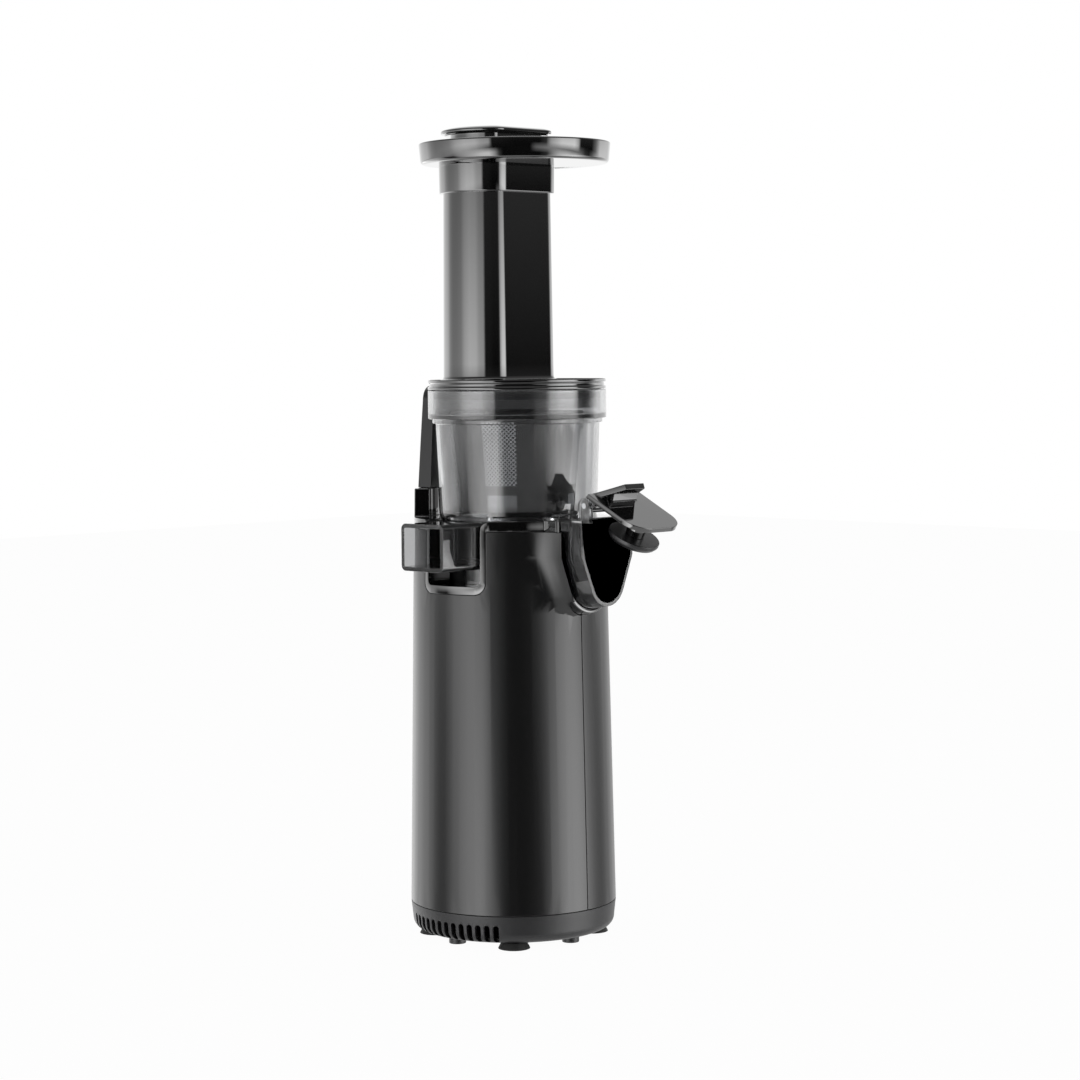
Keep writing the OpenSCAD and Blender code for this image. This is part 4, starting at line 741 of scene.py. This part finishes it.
INSIDE = {
    "bowl_shaft_seal": "grey_silicone", "pulp_plug": "grey_silicone", "cap_hinge_pin": "bright_steel",
    "auger_drive_insert": "bright_steel", "lid_seal": "grey_silicone", "lid_magnet": "bright_steel",
    "drive_shaft": "bright_steel", "output_gear": "gear_brass", "gear_b": "gear_nylon",
    "gear_a": "gear_nylon", "motor_pinion": "gear_brass", "gear_arbors": "bright_steel",
    "shaft_bushes": "gear_brass", "gearbox_case": "cast_alloy", "gearbox_cover": "cast_alloy",
    "gearbox_dampers": "black_rubber", "motor_can": "motor_steel", "motor_end_bell": "matte_black",
    "motor_bearings": "bright_steel", "motor_magnets": "magnet_grey", "motor_shaft": "bright_steel",
    "motor_armature": "copper_winding", "motor_commutator": "copper_winding",
    "motor_brushes": "magnet_grey", "cooling_fan": "matte_black", "control_board": "board_green",
    "lock_sensor": "sensor_ivory", "seat_screws": "bright_steel", "base_screws": "bright_steel",
    "gearbox_screws": "bright_steel", "motor_screws": "bright_steel", "drive_screws": "bright_steel",
}


class JUICER_OT_inside(bpy.types.Operator):
    """Gives the motor, the gears, the seals and the screws their finishes"""

    bl_idname = "juicer.inside"
    bl_label = "Motor, gears and seals"

    def execute(self, context):
        for node, finish in INSIDE.items():
            for slot in nodes[node].material_slots:
                slot.material = MATERIALS[finish]
        return {"FINISHED"}


# Outside

ROOT_RISE, ROOT_BEHIND = 5.9 * MM, 30 * MM
ROOT_ROUND, RIM_ROUND = 1.6 * MM, 0.85 * MM
SPOUT_TOP = 223.5 * MM
STRAINER_STEEL = 0.5 * MM
KNEE_SHARE = 16.9 / 53.9


class JUICER_OT_housing(bpy.types.Operator):
    """Adds the two shells, the gloss seat, the lock arm, the base, the gland and the switch"""

    bl_idname = "juicer.housing"
    bl_label = "Housing"

    def execute(self, context):
        edge = sizes().edge
        softened("left_shell", "left_shell_skin", "satin_graphite", "root", edge, 40)
        softened("right_shell", "right_shell_skin", "satin_graphite", "root", edge, 40)
        self.seat(edge)
        softened("lock_arm", "lock_arm_skin", "satin_graphite", "root", edge)
        softened("base_cap", "base_cap_matte", "matte_black", "root", edge)
        softened("suction_feet", "suction_feet_rubber", "black_rubber", "root", edge)
        softened("switch_body", "switch_body_frame", "rocker_black", "root", edge)
        softened("switch_rocker", "switch_rocker_key", "rocker_black", "rocker", edge)
        softened("cord_gland", "cord_gland_rubber", "black_rubber", "root", edge)
        return {"FINISHED"}

    def seat(self, edge):
        """The gloss seat, whose root under the lock arm has fuller roundings."""
        bm = clean_copy("bowl_seat")
        root_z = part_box("left_shell")[1].z + ROOT_RISE
        root_y = HOUSING.y + ROOT_BEHIND
        root = [e for e in sharp_edges(bm, 40) if all(v.co.z > root_z and v.co.y > root_y for v in e.verts)]
        rounded(bm, root, ROOT_ROUND, 4, clamp_overlap=True)
        soften(bm, 1.4 * edge, 40)
        even_normals(piece("bowl_seat_gloss", bm, "gloss_black", "root", ("bowl_seat",)))


class JUICER_OT_bowl(bpy.types.Operator):
    """Adds the smoky bowl"""

    bl_idname = "juicer.bowl"
    bl_label = "Bowl"

    def execute(self, context):
        bm = clean_copy("bowl")
        rims = [e for e in sharp_edges(bm, 28) if all(self.at_mouth(v.co) for v in e.verts)]
        rounded(bm, rims, RIM_ROUND, 4, clamp_overlap=True)
        soften(bm, sizes().edge, 40)
        even_normals(piece("bowl_smoky", bm, "smoky_clear", "bowl_set", ("bowl",), 35))
        return {"FINISHED"}

    def at_mouth(self, place):
        """Whether a corner lies in the open end of the juice spout or of the pulp duct."""
        near = 0.02 * MM
        return (abs(place.y - HOUSING.y + SPOUT_REACH) < near and place.z < SPOUT_TOP
                or abs(place.x - HOUSING.x + DUCT_REACH) < near)


class JUICER_OT_strainer(bpy.types.Operator):
    """Adds the strainer's frame, its pierced steel and the auger"""

    bl_idname = "juicer.strainer"
    bl_label = "Strainer and auger"

    def execute(self, context):
        softened("strainer_frame", "strainer_frame_resin", "dark_resin", "bowl_set", 0.25 * MM, 40)
        softened("auger", "auger_resin", "dark_resin", "auger_set", 0.3 * MM, 30)
        size = sizes()
        low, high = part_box("strainer_mesh")
        knee = low.z + KNEE_SHARE * (high.z - low.z)
        self.radii = (low.z, knee, high.z)
        bm = bmesh.new()
        for i in range(WINDOWS):
            middle_turn = math.radians(WINDOW_TURN + i * 360 / WINDOWS)
            self.sheet(bm, middle_turn, low.z, knee, size.fine_pitch, size.fine_hole)
            self.sheet(bm, middle_turn, knee, high.z, size.hole_pitch, size.hole)
        bmesh.ops.recalc_face_normals(bm, faces=bm.faces)
        bmesh.ops.solidify(bm, geom=bm.faces[:], thickness=STRAINER_STEEL)
        bmesh.ops.recalc_face_normals(bm, faces=bm.faces)
        piece("strainer_mesh_pierced", bm, "steel_mesh", "bowl_set", ("strainer_mesh",), 40)
        return {"FINISHED"}

    def radius(self, z):
        """The mesh's radius at a height: steep below the knee, flared above it."""
        foot, knee, top = self.radii
        if z < knee:
            return (29.5 + 0.8 * (z - foot) / (knee - foot)) * MM
        return (30.3 + 4.1 * (z - knee) / (top - knee)) * MM

    def sheet(self, bm, turn, low, high, pitch, hole):
        """One curved steel sheet with staggered holes, cut off square at its four sides."""
        radius = self.radius((low + high) / 2)
        half_w = math.radians(WINDOW_HALF) * radius
        rows = int((high - low) / pitch) + 3
        columns = int(2 * half_w / pitch) + 3
        flat = self.pierced_cell(pitch, hole)
        bmesh.ops.translate(flat, vec=(-half_w - pitch, low - pitch, 0), verts=flat.verts)
        self.repeat(flat, columns, Vector((pitch, 0, 0)))
        self.copy(flat, Vector((pitch / 2, pitch / 2, 0)))
        self.repeat(flat, rows, Vector((0, pitch, 0)))
        bmesh.ops.remove_doubles(flat, verts=flat.verts, dist=0.01 * MM)
        for place, normal in (((-half_w, 0, 0), (-1, 0, 0)), ((half_w, 0, 0), (1, 0, 0)),
                              ((0, low, 0), (0, -1, 0)), ((0, high, 0), (0, 1, 0))):
            everything = flat.verts[:] + flat.edges[:] + flat.faces[:]
            bmesh.ops.bisect_plane(flat, geom=everything, plane_co=place, plane_no=normal, clear_outer=True)
        for v in flat.verts:
            a, z = turn + v.co.x / radius, v.co.y
            v.co = (BOWL.x + self.radius(z) * math.cos(a), BOWL.y + self.radius(z) * math.sin(a), z)
        mesh = bpy.data.meshes.new("sheet")
        flat.to_mesh(mesh)
        flat.free()
        bm.from_mesh(mesh)
        bpy.data.meshes.remove(mesh)

    def pierced_cell(self, pitch, hole):
        """A square standing on its corner, with a round hole of eight corners."""
        side = pitch / math.sqrt(2)
        bm = bmesh.new()
        bmesh.ops.create_grid(bm, x_segments=1, y_segments=1, size=side / 2)
        bmesh.ops.rotate(bm, verts=bm.verts, cent=(0, 0, 0), matrix=Matrix.Rotation(math.pi / 4, 3, "Z"))
        bmesh.ops.subdivide_edges(bm, edges=bm.edges, cuts=1, use_grid_fill=False)
        bmesh.ops.inset_individual(bm, faces=bm.faces, thickness=side / 2 - 0.92 * hole / 2)
        core = [f for f in bm.faces if len(f.verts) == 8]
        corners = [v for f in core for v in f.verts]
        bmesh.ops.delete(bm, geom=core, context="FACES_ONLY")
        for v in corners:
            v.co = v.co.normalized() * hole / 2
        return bm

    def copy(self, bm, step):
        """Copies everything that is there, moved by a step."""
        more = bmesh.ops.duplicate(bm, geom=bm.verts[:] + bm.edges[:] + bm.faces[:])["geom"]
        bmesh.ops.translate(bm, vec=step, verts=[v for v in more if isinstance(v, bmesh.types.BMVert)])

    def repeat(self, bm, count, step):
        """Copies what is there until it stands in a row of at least that many."""
        done = 1
        while done < count:
            self.copy(bm, step * done)
            done *= 2


class JUICER_OT_lid(bpy.types.Operator):
    """Adds the lid with its feed chute, the hopper tray and the pusher"""

    bl_idname = "juicer.lid"
    bl_label = "Lid, tray and pusher"

    def execute(self, context):
        self.lid()
        self.tray()
        self.pusher()
        return {"FINISHED"}

    def lid(self):
        low, high, top = 291.0, 296.2, 411.0
        rings = chain(d_ring, [
            (-2.2, low, 0), (-2.2, top - 1, 0), (-2.2, top, 0.5), (-0.5, top, 0.6), (0.4, high + 8, 9),
            (0.5, high, 3.6), (4.4, high, 0)])
        rings += chain(round_ring, [
            (47.0, high, 0), (47.7, high, 0.6), (47.7, high - 1.5, 0.4), (46.8, high - 1.9, 0.4),
            (46.8, low + 1.8, 0.4), (47.7, low + 1.4, 0.4), (47.7, low, 0.4), (44.2, low, 0.2),
            (44.2, low - 10, 0.6), (42.2, low - 10, 0.6), (42.2, low, 0.6), (41.4, low, 0)])
        bm = loft(rings)
        tab = [(47.9, low - 6.4), (50.9, low - 6.4), (50.9, low + 1.6), (46.9, low + 1.6), (46.9, low + 0.1),
               (47.9, low + 0.1)]
        add_arc(bm, BOWL_FOOT, tab, math.radians(9.2))
        bmesh.ops.create_cone(bm, cap_ends=True, segments=48, radius1=6 * MM, radius2=6 * MM, depth=7 * MM,
                              matrix=Matrix.Translation((BOWL.x, BOWL.y, (high - 3.5) * MM)))
        add_box(bm, (-3.5, -7.0, high - 7), (3.5, 0, high))
        piece("lid_chute_gloss", bm, "gloss_black", "lid_set", ("lid_chute",), 35)

    def tray(self):
        floor, rim = 411.15, 422.35
        rings = chain(d_ring, [
            (1.9, floor, 0), (1.65, floor - 15.2, 0.7), (0.15, floor - 15.2, 0.2), (0.15, floor, 0.1),
            (-2.2, floor, 0.1), (-2.2, floor + 3.6, 0.8), (-1.2, floor + 3.7, 0)])
        rings += chain(round_ring, [
            (43.5, floor + 3.8, 0), (48.2, floor + 3.8, 3.2), (49.3, rim, 0.9), (51.4, rim, 0.9),
            (50.3, floor, 3.6), (46.5, floor, 0)])
        piece("hopper_tray_gloss", loft(rings), "gloss_black", "lid_set", ("hopper_tray",), 35)

    def pusher(self):
        foot, neck, cap = 296.5, 308.5, 427.05
        body = chain(d_ring, [
            (-6.0, foot, 0), (-3.0, foot, 1.2), (-3.0, neck, 0.6), (-4.5, neck, 0.6), (-4.5, cap, 0)])
        piece("pusher_body_gloss", loft(body, False), "gloss_black", "pusher", ("pusher_body",), 35)
        flange = chain(d_ring, [
            (-4.4, cap, 0), (-1.4, cap, 0.3), (-1.2, cap + 0.9, 0.3), (0.5, cap + 0.9, 0.4),
            (0.7, cap + 2.6, 1.0), (-2.6, cap + 3.6, 3), (-4.4, cap + 3.6, 0)])
        piece("pusher_cap_gloss", loft(flange, False), "gloss_black", "pusher", ("pusher_cap",), 50)


class JUICER_OT_cap(bpy.types.Operator):
    """Adds the flip cap of the juice spout and its plug"""

    bl_idname = "juicer.cap"
    bl_label = "Spout cap"

    def execute(self, context):
        edge = sizes().edge
        softened("spout_cap", "spout_cap_gloss", "gloss_black", "cap", edge)
        softened("spout_cap_seal", "spout_cap_plug", "dark_resin", "cap", edge)
        return {"FINISHED"}


class JUICER_PT_panel(bpy.types.Panel):
    """Lists the juicer's pieces in the sidebar"""

    bl_label = "Juicer"
    bl_idname = "JUICER_PT_panel"
    bl_space_type = "VIEW_3D"
    bl_region_type = "UI"
    bl_category = "Juicer"

    def draw(self, context):
        for scene_name, made in GROUPS.items():
            box = self.layout.box()
            for name in made.__annotations__:
                box.prop(getattr(context.scene, scene_name), name)
        for step in STEPS:
            self.layout.operator(step.bl_idname)


STEPS = (
    JUICER_OT_stage,
    JUICER_OT_inside,
    JUICER_OT_housing,
    JUICER_OT_bowl,
    JUICER_OT_strainer,
    JUICER_OT_lid,
    JUICER_OT_cap,
)
GROUPS = {"juicer_look": JuicerLook, "juicer_sizes": JuicerSizes, "juicer_studio": JuicerStudio}
CLASSES = tuple(GROUPS.values()) + STEPS + (JUICER_PT_panel,)


def register():
    for made in CLASSES:
        bpy.utils.register_class(made)
    for name, group in GROUPS.items():
        setattr(bpy.types.Scene, name, bpy.props.PointerProperty(type=group))


def unregister():
    for name in GROUPS:
        delattr(bpy.types.Scene, name)
    for made in reversed(CLASSES):
        bpy.utils.unregister_class(made)


def main():
    register()
    MATERIALS.update(make_materials(look()))
    for step in STEPS:
        group, name = step.bl_idname.split(".")
        getattr(getattr(bpy.ops, group), name)()


if __name__ == "__main__":
    main()
